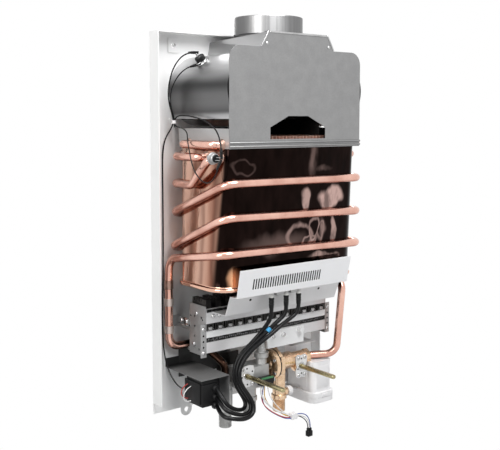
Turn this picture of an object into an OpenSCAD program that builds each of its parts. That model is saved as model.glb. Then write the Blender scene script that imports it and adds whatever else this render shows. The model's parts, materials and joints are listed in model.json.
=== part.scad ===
// Wall-hung tankless gas water heater with its front cover taken off.
// Millimetres. +Z is up, the front faces -Y and the wall is the plane Y = 0.
// The origin is on the rear face of the back plate, on the heater's centre line.

/* [Back plate] */
// Width across the side flanges
plate_w = 340; // [330:1:380]
// Height of the top edge above the origin
plate_up = 295; // [292:1:330]
// Depth of the lower edge below the origin
plate_down = 308; // [300:1:340]
// Sheet thickness of the back plate
plate_t = 1.5; // [1:0.1:2]
// Depth of the side and top flanges
flange_d = 25; // [15:1:40]
// Height at which the side flanges stop above the lower edge
flange_stop = 18; // [5:1:40]
// Radius of the wall screw holes
wall_hole_r = 4; // [3:0.1:5]
// Distance between the two upper wall holes
top_hole_spacing = 256; // [200:1:280]
// Distance of the upper wall holes below the top edge
top_hole_drop = 19; // [16:1:24]
// Distance between the two lower ears
ear_spacing = 214; // [150:1:280]
// Width of a lower ear
ear_w = 21; // [16:1:30]
// Distance of the ear hole below the lower edge
ear_drop = 5; // [2:0.5:12]
// Width of an upper reinforcing bracket
bracket_w = 20; // [14:1:30]
// Height of an upper reinforcing bracket
bracket_h = 23; // [14:1:28]
// Thickness of an upper reinforcing bracket
bracket_t = 2; // [1:0.1:3]

/* [Flue collar and hood] */
// Outer radius of the flue collar
collar_r = 55; // [50:0.5:56]
// Wall of the flue collar
collar_t = 1; // [0.6:0.1:2]
// Height of the flue collar
collar_h = 39; // [35:1:60]
// Distance of the flue axis from the wall
collar_y = 80; // [75:1:90]
// Sheet thickness of the hood
sheet_t = 1; // [0.6:0.1:1.5]
// Depth of the hood from the wall to its front rim
hood_depth = 153; // [152:1:170]
// Width of the hood across its rolled sides
hood_w = 272; // [266:1:284]
// Radius of the rolled sides
roll_r = 55; // [40:1:60]
// Height of the flat top of the rolled hood
hood_top_z = 260; // [255:1:264]
// Height of the hood's open lower rim
hood_rim_z = 161; // [158:1:170]
// Width of the hood at its lower rim
hood_rim_w = 260; // [250:1:266]
// Width of the roof box at its top, front end
roof_w = 118; // [116:1:126]
// Width of the roof box at its base, front end
roof_base_w = 146; // [140:1:156]
// Height of the roof box at the front
roof_z = 290; // [286:1:292]
// Height of the roof box's base at the front
roof_base_z = 267; // [264:1:272]
// Fall of the roof from front to back
roof_fall = 6; // [0:1:8]
// Narrowing of the roof base from front to back
roof_taper = 22; // [0:1:26]

/* [Hood front plate and skirt] */
// Width of the front plate
front_w = 265; // [262:1:280]
// Corner radius at the top of the front plate
front_corner_r = 20; // [5:1:30]
// Width of the sight window
window_w = 112; // [80:1:140]
// Width of the sight window's top edge
window_top_w = 40; // [20:1:70]
// Height of the window's sill above the plate's lower edge
window_sill = 13.5; // [12:0.5:18]
// Height of the window's upright sides
window_side = 17.5; // [10:0.5:24]
// Height of the window's sloping sides
window_slope = 17; // [8:0.5:24]
// Radius of the two stiffening beads
bead_r = 1.6; // [1:0.1:2.2]
// Height of the skirt above the exchanger
skirt_h = 29.5; // [28:0.5:36]

/* [Heat exchanger] */
// Height of the copper shell's top edge
shell_top_z = 117.5; // [114:0.5:118]
// Height of the copper shell's lower edge
shell_bottom_z = -90; // [-96:0.5:-86]
// Width of the shell at its top
shell_top_w = 258; // [250:1:262]
// Width of the shell at its bottom
shell_bottom_w = 278; // [266:1:282]
// Distance of the shell's front from the wall at its top
shell_front_top = 150; // [149:0.5:151]
// Distance of the shell's front from the wall at its bottom
shell_front_bottom = 140; // [136:0.5:142]
// Distance of the shell's back from the wall
shell_back = 18; // [17.8:0.1:20]
// Radius of the shell's upright corners
shell_corner_r = 14; // [8:1:20]
// Radius of the shell's corners at its lower edge
shell_foot_r = 30; // [14:1:36]
// Wall of the copper shell
shell_t = 1; // [0.6:0.1:1.5]
// Width of the shell's lower rim
shell_rim_w = 4; // [2:0.5:6]
// Height of the shell's lower rim
shell_rim_h = 6; // [2:0.5:6]
// Outer diameter of the copper water tube
tube_d = 12.7; // [10:0.1:12.8]
// Gap between the coil and the shell
coil_gap = 0.3; // [0.2:0.05:0.5]
// Number of fins in the finned block
fin_count = 34; // [20:1:50]
// Thickness of one fin
fin_t = 0.6; // [0.3:0.1:1]
// Height of the lower row of finned tubes
low_row_z = 104; // [102:0.5:106]
// Height of the upper row of finned tubes
high_row_z = 123; // [122:0.5:126]

/* [Burner] */
// Width of the burner across its end plates
burner_w = 252; // [240:1:258]
// Distance of the burner's front from the wall
burner_front = 84; // [80:1:90]
// Distance of the burner's back from the wall
burner_back = 40; // [36:1:48]
// Height of the burner's underside
burner_bottom_z = -205; // [-210:0.5:-203]
// Height of the burner's flame ports
burner_top_z = -117; // [-120:0.5:-114]
// Sheet thickness of the burner's frame
burner_t = 1.2; // [0.8:0.1:1.6]
// Number of burner bars
bar_count = 13; // [9:1:15]
// Width of a burner bar
bar_w = 13; // [10:0.5:14]
// Height of the top rail
top_rail_h = 23; // [15:0.5:26]
// Height of the row of air inlets
inlet_row_h = 11.5; // [9:0.5:16]
// Height of the gas rail
gas_rail_h = 10; // [7:0.5:11]
// Height of the lower panel
lower_panel_h = 16.5; // [14:0.5:20]
// Width of the vent plate in front of the shell
vent_w = 228; // [210:1:236]
// Height of the vent plate
vent_h = 42; // [36:1:46]
// Lean of the vent plate from foot to top
vent_lean = 9; // [8:0.5:14]
// Number of slots in the vent plate
slot_count = 29; // [15:1:33]
// Distance between two vent slots
slot_pitch = 4.8; // [4:0.1:5.4]
// Width of a vent slot
slot_w = 2.4; // [1.5:0.1:3]
// Height of a vent slot
slot_h = 16.5; // [10:0.5:22]

/* [Gas and water valves] */
// Radius of the knob shafts
shaft_r = 4; // [3:0.1:4.5]
// Depth of the flat on a knob shaft
shaft_flat = 1; // [0.4:0.1:1.1]
// Free length of the gas knob shaft
gas_shaft_l = 89; // [60:1:100]
// Free length of the water knob shaft
water_shaft_l = 79; // [60:1:100]
// Running clearance of a shaft or rod in its bore
run_gap = 0.06; // [0.03:0.01:0.1]
// Radius of the diaphragm flanges
diaphragm_r = 25; // [23:0.5:26]
// Travel of the push rod
rod_travel = 3; // [1:0.5:3]
// Radius of the pipe threads at the three connections
thread_r = 10.48; // [9:0.01:11]
// Height of the cold inlet's lower end
cold_end_z = -326; // [-340:1:-322]
// Height of the gas inlet's lower end
gas_end_z = -321; // [-340:1:-300]
// Height of the hot outlet's lower end
hot_end_z = -338; // [-350:1:-320]

/* [Igniter and battery box] */
// Width of the black igniter box
igniter_w = 33; // [28:1:36]
// Depth of the black igniter box
igniter_d = 42; // [36:1:44]
// Height of the black igniter box
igniter_h = 43; // [38:1:46]
// Sheet thickness of the igniter cover and brackets
cover_t = 1; // [0.8:0.1:1.5]
// Width of the battery box
battery_w = 44; // [40:1:48]
// Depth of the battery box
battery_d = 72; // [70:1:76]
// Height of the battery box above its lid
battery_h = 62; // [61:1:64]
// Wall of the battery box
battery_t = 2; // [1.5:0.1:2.5]
// Height of the battery lid
lid_h = 8; // [6:0.5:12]

/* [Hidden] */
$fn = 48;

// Small clearances between fixed pieces
slip = 0.2;
near = 0.3;
over = 1;

// Places that several pieces share
plate_face = -plate_t;
tube_r = tube_d / 2;
roll_z = hood_top_z - roll_r;
roll_x = hood_w / 2 - roll_r;
skirt_top_z = shell_top_z + skirt_h;
front_face = -hood_depth - sheet_t;
collar_step = 2;
flue_room = 5;
collar_foot_r = collar_r - collar_step;
shell_height = shell_top_z - shell_bottom_z;
shell_rim_z = shell_bottom_z - shell_rim_h;
function shell_fall(z) = (shell_top_z - z) / shell_height;
function shell_half(z) = (shell_top_w + (shell_bottom_w - shell_top_w) * shell_fall(z)) / 2;
function shell_corner(z) = shell_corner_r + (shell_foot_r - shell_corner_r) * shell_fall(z);
function shell_face(z) = -shell_front_top + (shell_front_top - shell_front_bottom) * shell_fall(z);

// Finned tubes, by distance from the wall
low_rows = [28, 92, 128];
high_rows = [46, 131];
bend_out = 16;
bend_r = 12;
fin_gap = 0.15;
fin_end = 14;
fin_low = 22;
fin_high = 12;

// Coil round the shell
coil_off = tube_r + coil_gap;
coil_back = -shell_back + coil_off;
coil_bend = shell_corner_r + coil_off;
function coil_side(z) = shell_half(z) + coil_off;
function coil_front(z) = shell_face(z) - coil_off;
first_turn_z = [61, 64, 66, 67];
second_turn_z = [13, 12, 11, 17];
third_turn_z = [-41, -42, -42, -37];
drop_share = 0.46;
drop_x = burner_w / 2 + drop_share * ((plate_w - burner_w) / 2 - plate_t);
drop_y = -11;
drop_z = -58;
joint_z = -100;
joint_run = 10;
function coil_turn(z) = [
  [-coil_side(z[0]), coil_back, z[0]],
  [coil_side(z[1]), coil_back, z[1]],
  [coil_side(z[2]), coil_front(z[2]), z[2]],
  [-coil_side(z[3]), coil_front(z[3]), z[3]]
];
coil_start = [-shell_half(low_row_z) - 6, -low_rows[2], low_row_z];
coil_points = concat(
  [coil_start, coil_start + [-14, 0, 0], [-coil_side(first_turn_z[0]) - 4, -72, first_turn_z[0]]],
  coil_turn(first_turn_z), coil_turn(second_turn_z), coil_turn(third_turn_z),
  [[-coil_side(drop_z), drop_y, drop_z], [-drop_x, drop_y, joint_z + joint_run], [-drop_x, drop_y, joint_z]]
);
coil_radii = concat([bend_r], [for (i = [2:len(coil_points) - 2]) coil_bend]);

// Burner heights
rail_top_z = burner_top_z - 13;
inlet_top_z = rail_top_z - top_rail_h;
inlet_low_z = inlet_top_z - inlet_row_h;
gas_rail_top_z = inlet_low_z - 0.5;
gas_rail_low_z = gas_rail_top_z - gas_rail_h;
panel_low_z = burner_bottom_z + 6;
lower_panel_z = panel_low_z + lower_panel_h;
gas_joint_z = panel_low_z + 3;
bar_front = -burner_front + burner_t;
bar_back = -burner_back - 2;
bar_pitch = (burner_w - 2 * burner_t - bar_w - 3) / (bar_count - 1);
function bar_x(i) = (i - (bar_count - 1) / 2) * bar_pitch;

// Vent plate and the bracket under it
vent_drop = 14;
vent_foot_z = shell_bottom_z - vent_drop;
vent_top_z = vent_foot_z + vent_h;
vent_foot_y = -shell_front_bottom - 7;
bracket_bend_y = vent_foot_y + 17;
bracket_foot_y = bracket_bend_y + 12.6;
bracket_foot_z = rail_top_z - 5;
slot_shift = -18;
electrode_x = [-39, -9, 17];
electrode_y = vent_foot_y + 10;
ceramic_r = 4;
spark_rod_r = 1.2;
spark_reach = 20;
spark_gap = 5;
rod_run_z = shell_rim_z - spark_rod_r - near;
ceramic_top_z = vent_foot_z + 2.5;
ceramic_low_z = vent_foot_z - 10;
boot_low_z = ceramic_low_z - 17;

// Valves: the gas block on the left, the water section on the right
valve_front = -84;
valve_y = -72;
gas_shaft_x = -46;
gas_shaft_z = -250;
water_shaft_x = 70;
water_shaft_z = -254;
rod_z = -243;
rod_r = 2.5;
rod_tail_x = -26;
gas_block_left = -56;
gas_block_right = 0;
gas_block_top_z = -228;
gas_block_low_z = -272;
gas_block_back = -48;
gas_tube_x = -6;
gas_tube_r = 8;
cover_x = 8;
cover_l = 8;
rubber_t = 1.5;
flange_l = 7;
body_flange_x = cover_x + cover_l + rubber_t;
barrel_x = body_flange_x + flange_l;
barrel_r = 14;
barrel_end_x = 86;
cold_x = 32;
gas_in_x = -22;
gas_in_y = -61;
hot_x = -64;
hot_y = -50;
branch_low_z = -270;
shaft_seat = 18;
groove_at = 2;
groove_w = 2;
flat_l = 20;
plate_gauge = 2;
arm_t = 1.5;
arm_x = cover_x - 4;
button_x = 0.5;
switch_z = -262;
switch_y = valve_front - 6.3;
knob_z = -308;

// Igniter and its cover
cover_inset = 23;
cover_w = 53;
cover_drop = 48;
cover_lip = 14;
cover_left = -plate_w / 2 + cover_inset;
cover_right = cover_left + cover_w;
cover_front = -102;
cover_z = -235;
igniter_x = cover_left + 4;
igniter_front = cover_front + 4;

// Battery box
battery_x = 88;
battery_back = -24;
battery_base_z = -312;
battery_flare = 5;
shelf_rise = 30;
shelf_left = 30;
shelf_right = 25;
shelf_reach = 50;
shelf_lip = 25;
cell_r = 16.6;
cell_l = 61.5;
pin_r = 1.5;
hinge_reach = 4;
hinge_y = battery_back + battery_flare + hinge_reach;
knuckle_w = 20;

// Routes of the leads, in round numbers
lead_r = 3.3;
lead_left = [[-39, -137, -131], [-39, -137, -141], [-38, -133, -150], [-44, -121, -169], [-60, -113, -188],
  [-78, -109, -202], [-88, -108, -217], [-91, -109, -236], [-89, -112, -251], [-82, -117, -264], [-77, -122, -276],
  [-83, -126, -285], [-98, -128, -283], [-115, -127, -274], [-119, -121, -264], [-120, -110, -255],
  [-119, -103, -251], [-119, -98, -251]];
lead_middle = [[-9, -137, -131], [-9, -137, -140], [-13, -135, -148], [-27, -134, -155], [-42, -130, -169],
  [-58, -123, -183], [-76, -118, -198], [-88, -116, -213], [-93, -117, -232], [-89, -120, -250], [-79, -126, -266],
  [-73, -132, -279], [-81, -136, -288], [-98, -138, -288], [-116, -136, -281], [-123, -128, -276],
  [-122, -113, -268], [-119, -103, -265], [-119, -98, -265]];
lead_right = [[17, -137, -131], [17, -137, -139], [13, -136, -146], [4, -135, -152], [-17, -137, -159],
  [-39, -138, -171], [-60, -132, -184], [-78, -127, -199], [-89, -124, -215], [-94, -125, -231], [-90, -128, -247],
  [-80, -135, -263], [-74, -140, -279], [-82, -144, -290], [-100, -146, -292], [-118, -144, -287],
  [-129, -134, -286], [-125, -116, -281], [-119, -103, -278], [-119, -98, -278]];
wire_r = 1.1;
thermostat_points = [[-129, -62, 261], [-139, -54, 261], [-146, -40, 250], [-149, -27, 230], [-150, -20, 205],
  [-147, -18, 185], [-142, -19, 170], [-140, -19, 160], [-140, -19, 154], [-143, -16, 144], [-149, -9, 132],
  [-150, -3, 110], [-150, -3, 80], [-150, -3, 20], [-150, -3, -60], [-153, -3, -140], [-153, -4, -200],
  [-153, -14, -230], [-153, -34, -250], [-150, -49, -258], [-145, -49, -258]];
overheat_points = [[-137.5, -19, 148], [-137.5, -19, 154], [-137.5, -19, 160], [-137, -25, 166], [-137, -45, 167],
  [-138, -75, 164], [-139, -102, 159], [-141, -130, 149], [-145, -148, 134], [-150, -158, 118], [-150, -158, 109]];
loom_r = 2;
loom_points = [[-14, -90, -268], [-14, -90, -273], [-20, -92, -283], [-20, -97, -294], [-12, -102, -304],
  [-2, -107, -312], [8, -113, -319], [14, -117, -321], [18, -117, -321]];
tail_points = [[30, -119, -321], [35, -119, -321], [46, -120, -324], [55, -120, -332], [58, -120, -341],
  [58, -120, -348]];

// Helpers

module block(low, high) {
  translate(low) cube(high - low);
}

module rod_x(start, r, long) {
  translate(start) rotate([0, 90, 0]) cylinder(r = r, h = long);
}

module rod_y(start, r, long) {
  translate(start) rotate([-90, 0, 0]) cylinder(r = r, h = long);
}

module rod_z(start, r, long) {
  translate(start) cylinder(r = r, h = long);
}

// An outline in X and Z, given thickness from y_back towards the front
module upright(y_back, thick) {
  translate([0, y_back, 0]) rotate([90, 0, 0]) linear_extrude(thick) children();
}

// An outline in Y and Z, drawn out along X
module across(x_low, x_high) {
  translate([x_low, 0, 0]) rotate([90, 0, 90]) linear_extrude(x_high - x_low) children();
}

module rounded(w, d, r) {
  square([w - 2 * r, d], center = true);
  square([w, d - 2 * r], center = true);
  for (x = [-1, 1], y = [-1, 1]) translate([x * (w / 2 - r), y * (d / 2 - r)]) circle(r);
}

function unit(a) = a / norm(a);
function left_of(a) = [-a.y, a.x];

// Closed outline of a bent sheet that lies to the left of its line of bends
function bend_normal(p, i) =
  let (before = i > 0 ? left_of(unit(p[i] - p[i - 1])) : left_of(unit(p[1] - p[0])))
  let (after = i < len(p) - 1 ? left_of(unit(p[i + 1] - p[i])) : before)
  (before + after) / (1 + before * after);
function bent_sheet(p, t) = concat(p,
  [for (i = [len(p) - 1:-1:0]) p[i] + bend_normal(p, i) * t]);

// A route with its corners rounded
function corner_angle(a, b, c) = acos(max(-1, min(1, unit(b - a) * unit(c - b))));
function corner(a, b, c, r, steps) =
  let (way = unit(b - a), onward = unit(c - b), angle = corner_angle(a, b, c))
  let (trim = r * tan(angle / 2), side = unit(onward - way * (onward * way)))
  let (hub = b - way * trim + side * r)
  [for (k = [0:steps]) hub - side * r * cos(angle * k / steps) + way * r * sin(angle * k / steps)];
function rounded_route(p, r, steps) = concat([p[0]],
  [for (i = [1:len(p) - 2]) each corner(p[i - 1], p[i], p[i + 1], r[i - 1], steps)], [p[len(p) - 1]]);
function same(r, p) = [for (i = [1:len(p) - 2]) r];

// One closed tube swept along a route
function route_way(p, i) =
  let (last = len(p) - 1)
  unit(unit(p[min(i + 1, last)] - p[min(i, last - 1)]) + unit(p[max(i, 1)] - p[max(i - 1, 0)]));
function square_to(a, way) = unit(a - way * (a * way));
function first_normal(way) = square_to(abs(way.z) < 0.8 ? [0, 0, 1] : [1, 0, 0], way);
function carry(p, i, so_far) = i == len(p) ? so_far
  : carry(p, i + 1, concat(so_far, [square_to(so_far[i - 1], route_way(p, i))]));
function route_normals(p) = carry(p, 1, [first_normal(route_way(p, 0))]);
module swept_tube(p, r, sides) {
  normals = route_normals(p);
  last = len(p) - 1;
  points = [for (i = [0:last]) let (n = normals[i], m = cross(route_way(p, i), n))
    for (k = [0:sides - 1]) p[i] + n * r * cos(360 * k / sides) + m * r * sin(360 * k / sides)];
  walls = [for (i = [0:last - 1], k = [0:sides - 1]) let (a = i * sides, b = (k + 1) % sides)
    each [[a + k, a + sides + b, a + b], [a + k, a + sides + k, a + sides + b]]];
  ends = [for (k = [1:sides - 2]) each [[0, k, k + 1],
    [last * sides, last * sides + k + 1, last * sides + k]]];
  polyhedron(points, concat(walls, ends), convexity = 6);
}

// Back plate and wall fixings

module wall_holes() {
  for (s = [-1, 1]) {
    rod_y([s * top_hole_spacing / 2, -plate_t - bracket_t - over, plate_up - top_hole_drop], wall_hole_r,
      plate_t + bracket_t + 2 * over);
    rod_y([s * ear_spacing / 2, -plate_t - over, -plate_down - ear_drop], wall_hole_r, plate_t + 2 * over);
  }
}

module back_plate() {
  color("whitesmoke") difference() {
    union() {
      block([-plate_w / 2, -plate_t, -plate_down], [plate_w / 2, 0, plate_up]);
      block([-plate_w / 2, -flange_d, plate_up - plate_t], [plate_w / 2, 0, plate_up]);
      for (s = [-1, 1]) {
        translate([s * (plate_w - plate_t) / 2, 0, 0])
          block([-plate_t / 2, -flange_d, -plate_down + flange_stop], [plate_t / 2, 0, plate_up]);
        translate([s * ear_spacing / 2, 0, 0]) {
          block([-ear_w / 2, -plate_t, -plate_down - ear_drop], [ear_w / 2, 0, -plate_down]);
          rod_y([0, -plate_t, -plate_down - ear_drop], ear_w / 2, plate_t);
        }
      }
    }
    wall_holes();
    rod_z([0, -collar_y, plate_up - plate_t - over], collar_r + flue_room, plate_t + 2 * over);
  }
}

module wall_brackets() {
  color("white") difference() {
    for (s = [-1, 1]) translate([s * top_hole_spacing / 2, plate_face, plate_up - top_hole_drop])
      block([-bracket_w / 2, -bracket_t, -bracket_h / 2], [bracket_w / 2, 0, bracket_h / 2]);
    wall_holes();
  }
}

// Flue collar and hood

module flue_collar() {
  low = roof_z - roof_fall - 4;
  free = roof_z + sheet_t;
  color("silver") difference() {
    union() {
      rod_z([0, -collar_y, low], collar_foot_r, free - low + over);
      rod_z([0, -collar_y, free], collar_r, low + collar_h - free);
    }
    rod_z([0, -collar_y, low - over], collar_foot_r - collar_t, collar_h + 2 * over);
    rod_z([0, -collar_y, free + collar_t], collar_r - collar_t, collar_h);
  }
}

module hood_outline(inset, drop) {
  for (s = [-1, 1]) translate([s * roll_x, roll_z]) circle(roll_r - inset);
  translate([-roll_x, roll_z]) square([2 * roll_x, roll_r - inset]);
  half = hood_w / 2 - inset;
  rim = hood_rim_w / 2 - inset;
  polygon([[-half, roll_z], [half, roll_z], [rim, hood_rim_z - drop], [-rim, hood_rim_z - drop]]);
}

module roof_slice(y, base_w, top_w, base_z, top_z, inset) {
  upright(y, 0.1) polygon([
    [-base_w / 2 + inset, roll_z], [base_w / 2 - inset, roll_z], [base_w / 2 - inset, base_z],
    [top_w / 2 - inset, top_z - inset], [-top_w / 2 + inset, top_z - inset], [-base_w / 2 + inset, base_z]]);
}

module roof_box(inset, reach) {
  hull() {
    roof_slice(-hood_depth + 0.1 - reach, roof_base_w, roof_w, roof_base_z, roof_z, inset);
    roof_slice(plate_face - inset, roof_base_w - roof_taper, roof_w - 4, roof_base_z - 2 * roof_fall,
      roof_z - roof_fall, inset);
  }
}

module hood_body() {
  color("darkgray") difference() {
    union() {
      upright(plate_face, hood_depth - plate_t) hood_outline(0, 0);
      roof_box(0, 0);
    }
    upright(plate_face - sheet_t, hood_depth) hood_outline(sheet_t, over);
    roof_box(sheet_t, over);
    rod_z([0, -collar_y, roll_z], collar_foot_r + slip, 2 * roll_r);
  }
}

module front_outline() {
  low = shell_top_z;
  difference() {
    union() {
      translate([-front_w / 2, low]) square([front_w, roof_base_z - low - front_corner_r]);
      translate([-front_w / 2 + front_corner_r, low]) square([front_w - 2 * front_corner_r, roof_base_z - low]);
      for (s = [-1, 1]) translate([s * (front_w / 2 - front_corner_r), roof_base_z - front_corner_r])
        circle(front_corner_r);
      polygon([[-roof_base_w / 2, roof_base_z - over], [roof_base_w / 2, roof_base_z - over],
        [roof_base_w / 2, roof_base_z], [roof_w / 2, roof_z + sheet_t], [-roof_w / 2, roof_z + sheet_t],
        [-roof_base_w / 2, roof_base_z]]);
    }
    sill = low + window_sill;
    side = sill + window_side;
    polygon([[-window_w / 2, sill], [window_w / 2, sill], [window_w / 2, side],
      [window_top_w / 2, side + window_slope], [-window_top_w / 2, side + window_slope], [-window_w / 2, side]]);
  }
}

module hood_front_plate() {
  color("lightgray") {
    upright(-hood_depth, sheet_t) front_outline();
    block([-roof_w / 2, -hood_depth - sheet_t, roof_z], [roof_w / 2, -hood_depth + 10, roof_z + sheet_t]);
    for (k = [0, 1]) rod_x([-front_w / 2, -hood_depth - bead_r, shell_top_z + 3.2 + k * 5.6], bead_r, front_w);
  }
}

module tube_holes(rows, z, clear) {
  for (y = rows) rod_x([-shell_bottom_w, -y, z], tube_r + clear, 2 * shell_bottom_w);
}

module hood_skirt() {
  color("gainsboro") difference() {
    block([-shell_top_w / 2, -hood_depth, shell_top_z], [shell_top_w / 2, -shell_back, skirt_top_z]);
    block([-shell_top_w / 2 + sheet_t, -hood_depth - over, shell_top_z - over],
      [shell_top_w / 2 - sheet_t, -shell_back - sheet_t, skirt_top_z + over]);
    tube_holes(high_rows, high_row_z, slip);
  }
}

module hood_baffle() {
  baffle_w = 140;
  baffle_rise = 20;
  low = roll_z - baffle_rise;
  color("gray") upright(plate_face - sheet_t, hood_depth - plate_t - sheet_t)
    polygon(bent_sheet([[-baffle_w / 2, low], [0, roll_z], [baffle_w / 2, low]], sheet_t));
}

module flue_thermostat() {
  lean = 40;
  color("black") translate([-roll_x, -65, roll_z]) rotate([0, -lean, 0]) translate([0, 0, roll_r + 0.05]) {
    rod_z([0, 0, 0], 11, 1.5);
    rod_z([0, 0, 1], 8, 10);
    for (s = [-1, 1]) block([-8 * s - 3, -1 + 4 * s, 10], [-8 * s + 3, 4 * s, 16]);
    for (s = [-1, 1]) block([-5, -1 + 4 * s, 10], [5, 4 * s, 13]);
  }
}

// Heat exchanger

// One level ring of the shell's wall, grown outwards from its outer face
shell_steps = 6;
function shell_ring(z, grow) =
  let (front = -shell_face(z) + grow, back = shell_back - grow, half = shell_half(z) + grow)
  let (r = shell_corner(z) + grow)
  [for (q = [0:3], k = [0:shell_steps]) let (a = 90 * q + 90 * k / shell_steps)
    [(q == 0 || q == 3 ? half - r : r - half) + r * cos(a), (q < 2 ? -back - r : r - front) + r * sin(a), z]];

module shell_wall() {
  rings = [shell_ring(shell_top_z, 0), shell_ring(shell_bottom_z, 0), shell_ring(shell_bottom_z, shell_rim_w),
    shell_ring(shell_rim_z, shell_rim_w), shell_ring(shell_rim_z, -shell_t), shell_ring(shell_top_z, -shell_t)];
  count = len(rings[0]);
  points = [for (ring = rings) each ring];
  faces = [for (i = [0:len(rings) - 1], k = [0:count - 1])
    let (a = i * count, b = ((i + 1) % len(rings)) * count, n = (k + 1) % count)
    each [[a + k, a + n, b + k], [a + n, b + n, b + k]]];
  polyhedron(points, faces, convexity = 6);
}

module exchanger_shell() {
  color("peru") difference() {
    shell_wall();
    tube_holes(low_rows, low_row_z, slip);
    tube_holes(high_rows, high_row_z, slip);
  }
}

module exchanger_fins() {
  front = -shell_face(low_row_z - fin_low) - shell_t - over;
  back = shell_back + sheet_t + over;
  reach = shell_top_w / 2 - shell_t - fin_end;
  pitch = (2 * reach - fin_t) / (fin_count - 1);
  color("sienna") for (i = [0:fin_count - 1]) across(-reach + i * pitch, -reach + i * pitch + fin_t)
    difference() {
      translate([-front, low_row_z - fin_low]) square([front - back, high_row_z - low_row_z + fin_low + fin_high]);
      for (y = low_rows) translate([-y, low_row_z]) circle(tube_r + fin_gap);
      for (y = high_rows) translate([-y, high_row_z]) circle(tube_r + fin_gap);
    }
}

tube_start_x = shell_top_w / 2 + 13;
tube_side = shell_top_w / 2 + bend_out;
tube_points = [
  [tube_start_x, -high_rows[1], high_row_z], [-tube_side, -high_rows[1], high_row_z],
  [-tube_side, -high_rows[0], high_row_z], [tube_side, -high_rows[0], high_row_z],
  [tube_side, -low_rows[0], low_row_z], [-tube_side, -low_rows[0], low_row_z],
  [-tube_side, -low_rows[1], low_row_z], [tube_side, -low_rows[1], low_row_z],
  [tube_side, -low_rows[2], low_row_z], coil_start];

module exchanger_tubes() {
  color("peru") swept_tube(rounded_route(tube_points, same(bend_r, tube_points), 5), tube_r, 12);
}

coil_route = rounded_route(coil_points, coil_radii, 5);
function least(a) = min([for (v = a) v]);
coil_least_gap = least([for (i = [0:len(coil_route) - 1], j = [i + 20:1:len(coil_route) - 1])
  norm(coil_route[i] - coil_route[j])]) - tube_d;
echo(coil_least_gap = coil_least_gap);

module coil_tube() {
  color("sandybrown") swept_tube(coil_route, tube_r, 12);
}

riser_gap = 1.5;
riser_y = -62;
riser_x = max(coil_side(third_turn_z[1]) + tube_d + riser_gap, tube_side + tube_d + near);
cold_points = [[barrel_end_x, valve_y, rod_z], [barrel_end_x + 14, valve_y, rod_z], [137, -100, -240],
  [143, -107, -125], [riser_x, riser_y, -72], [riser_x, riser_y, high_row_z],
  [tube_start_x + bend_r, -high_rows[1], high_row_z], [tube_start_x, -high_rows[1], high_row_z]];

module cold_pipe() {
  color("sandybrown") swept_tube(rounded_route(cold_points, [20, 20, 20, 30, 14, 11], 5), tube_r, 12);
}

hot_joint_z = gas_block_low_z - 2;
hot_points = [[-drop_x, drop_y, joint_z], [-drop_x, drop_y, -201], [-86, drop_y, -201], [hot_x, hot_y, -236],
  [hot_x, hot_y, hot_joint_z]];

module hot_pipe() {
  color("sandybrown") swept_tube(rounded_route(hot_points, [18, 18, 18], 5), tube_r, 12);
}

module pipe_sleeves() {
  color("sandybrown") for (z = [-134, -178]) difference() {
    rod_z([-drop_x, drop_y, z], tube_r + 1.2, 12);
    rod_z([-drop_x, drop_y, z - over], tube_r + 0.05, 12 + 2 * over);
  }
}

module overheat_thermostat() {
  x = coil_start.x - 14;
  y = coil_start.y - tube_r - near;
  color("dimgray") {
    block([x - 9, y - 2, low_row_z - 4], [x + 9, y, low_row_z + 4]);
    rod_y([x, y - 12, low_row_z], 8, 11);
    for (s = [-1, 1]) block([x + 4 * s - 3, y - 19, low_row_z - 0.5], [x + 4 * s + 3, y - 11, low_row_z + 0.5]);
  }
}

// Vent plate and burner

module vent_plate() {
  top_y = vent_foot_y - vent_lean;
  color("whitesmoke") difference() {
    across(-vent_w / 2, vent_w / 2)
      polygon(bent_sheet([[vent_foot_y + 3, vent_foot_z], [vent_foot_y, vent_foot_z], [top_y, vent_top_z]],
        -sheet_t));
    for (i = [0:slot_count - 1]) translate([slot_shift + (i - (slot_count - 1) / 2) * slot_pitch, 0, 0])
      block([-slot_w / 2, top_y - over, vent_foot_z + 10], [slot_w / 2, vent_foot_y + 8, vent_foot_z + 10 + slot_h]);
  }
}

module burner_bracket() {
  color("gainsboro") difference() {
    across(-vent_w / 2, vent_w / 2)
      polygon(bent_sheet([[vent_foot_y, vent_foot_z], [bracket_bend_y, vent_foot_z],
        [bracket_foot_y, bracket_foot_z], [-burner_front, bracket_foot_z]], -sheet_t));
    for (x = electrode_x) rod_z([x, electrode_y, vent_foot_z - 2], ceramic_r + slip, 4);
  }
}

module burner_end_plates() {
  plate_top_z = rail_top_z + 4;
  arm_low_z = inlet_low_z - 6;
  fold_w = 9;
  color("silver") for (s = [-1, 1]) mirror([s < 0 ? 1 : 0, 0, 0]) difference() {
    union() {
      block([burner_w / 2 - burner_t, -burner_front, burner_bottom_z], [burner_w / 2, -burner_back, plate_top_z]);
      block([burner_w / 2 - burner_t, -burner_front, burner_bottom_z], [burner_w / 2 + fold_w,
        -burner_front + burner_t, inlet_top_z]);
      block([burner_w / 2 - burner_t, -burner_back - over, arm_low_z], [burner_w / 2, plate_face, inlet_top_z]);
      block([burner_w / 2 - burner_t, plate_face - burner_t, arm_low_z], [burner_w / 2 + 10, plate_face,
        inlet_top_z]);
    }
    for (i = [0:3], k = [0:1]) rod_x([burner_w / 2 - over - burner_t, -burner_front + 12 + 18 * k,
      burner_bottom_z + 12 + 16 * i], 2, 2 * over + burner_t);
  }
}

module burner_top_rail() {
  half = burner_w / 2 - burner_t;
  color("silver") {
    block([-half, -burner_front, inlet_top_z], [half, -burner_front + burner_t, rail_top_z]);
    block([-half, -burner_front, rail_top_z - burner_t], [half, -burner_front + 4, rail_top_z]);
  }
}

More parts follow.
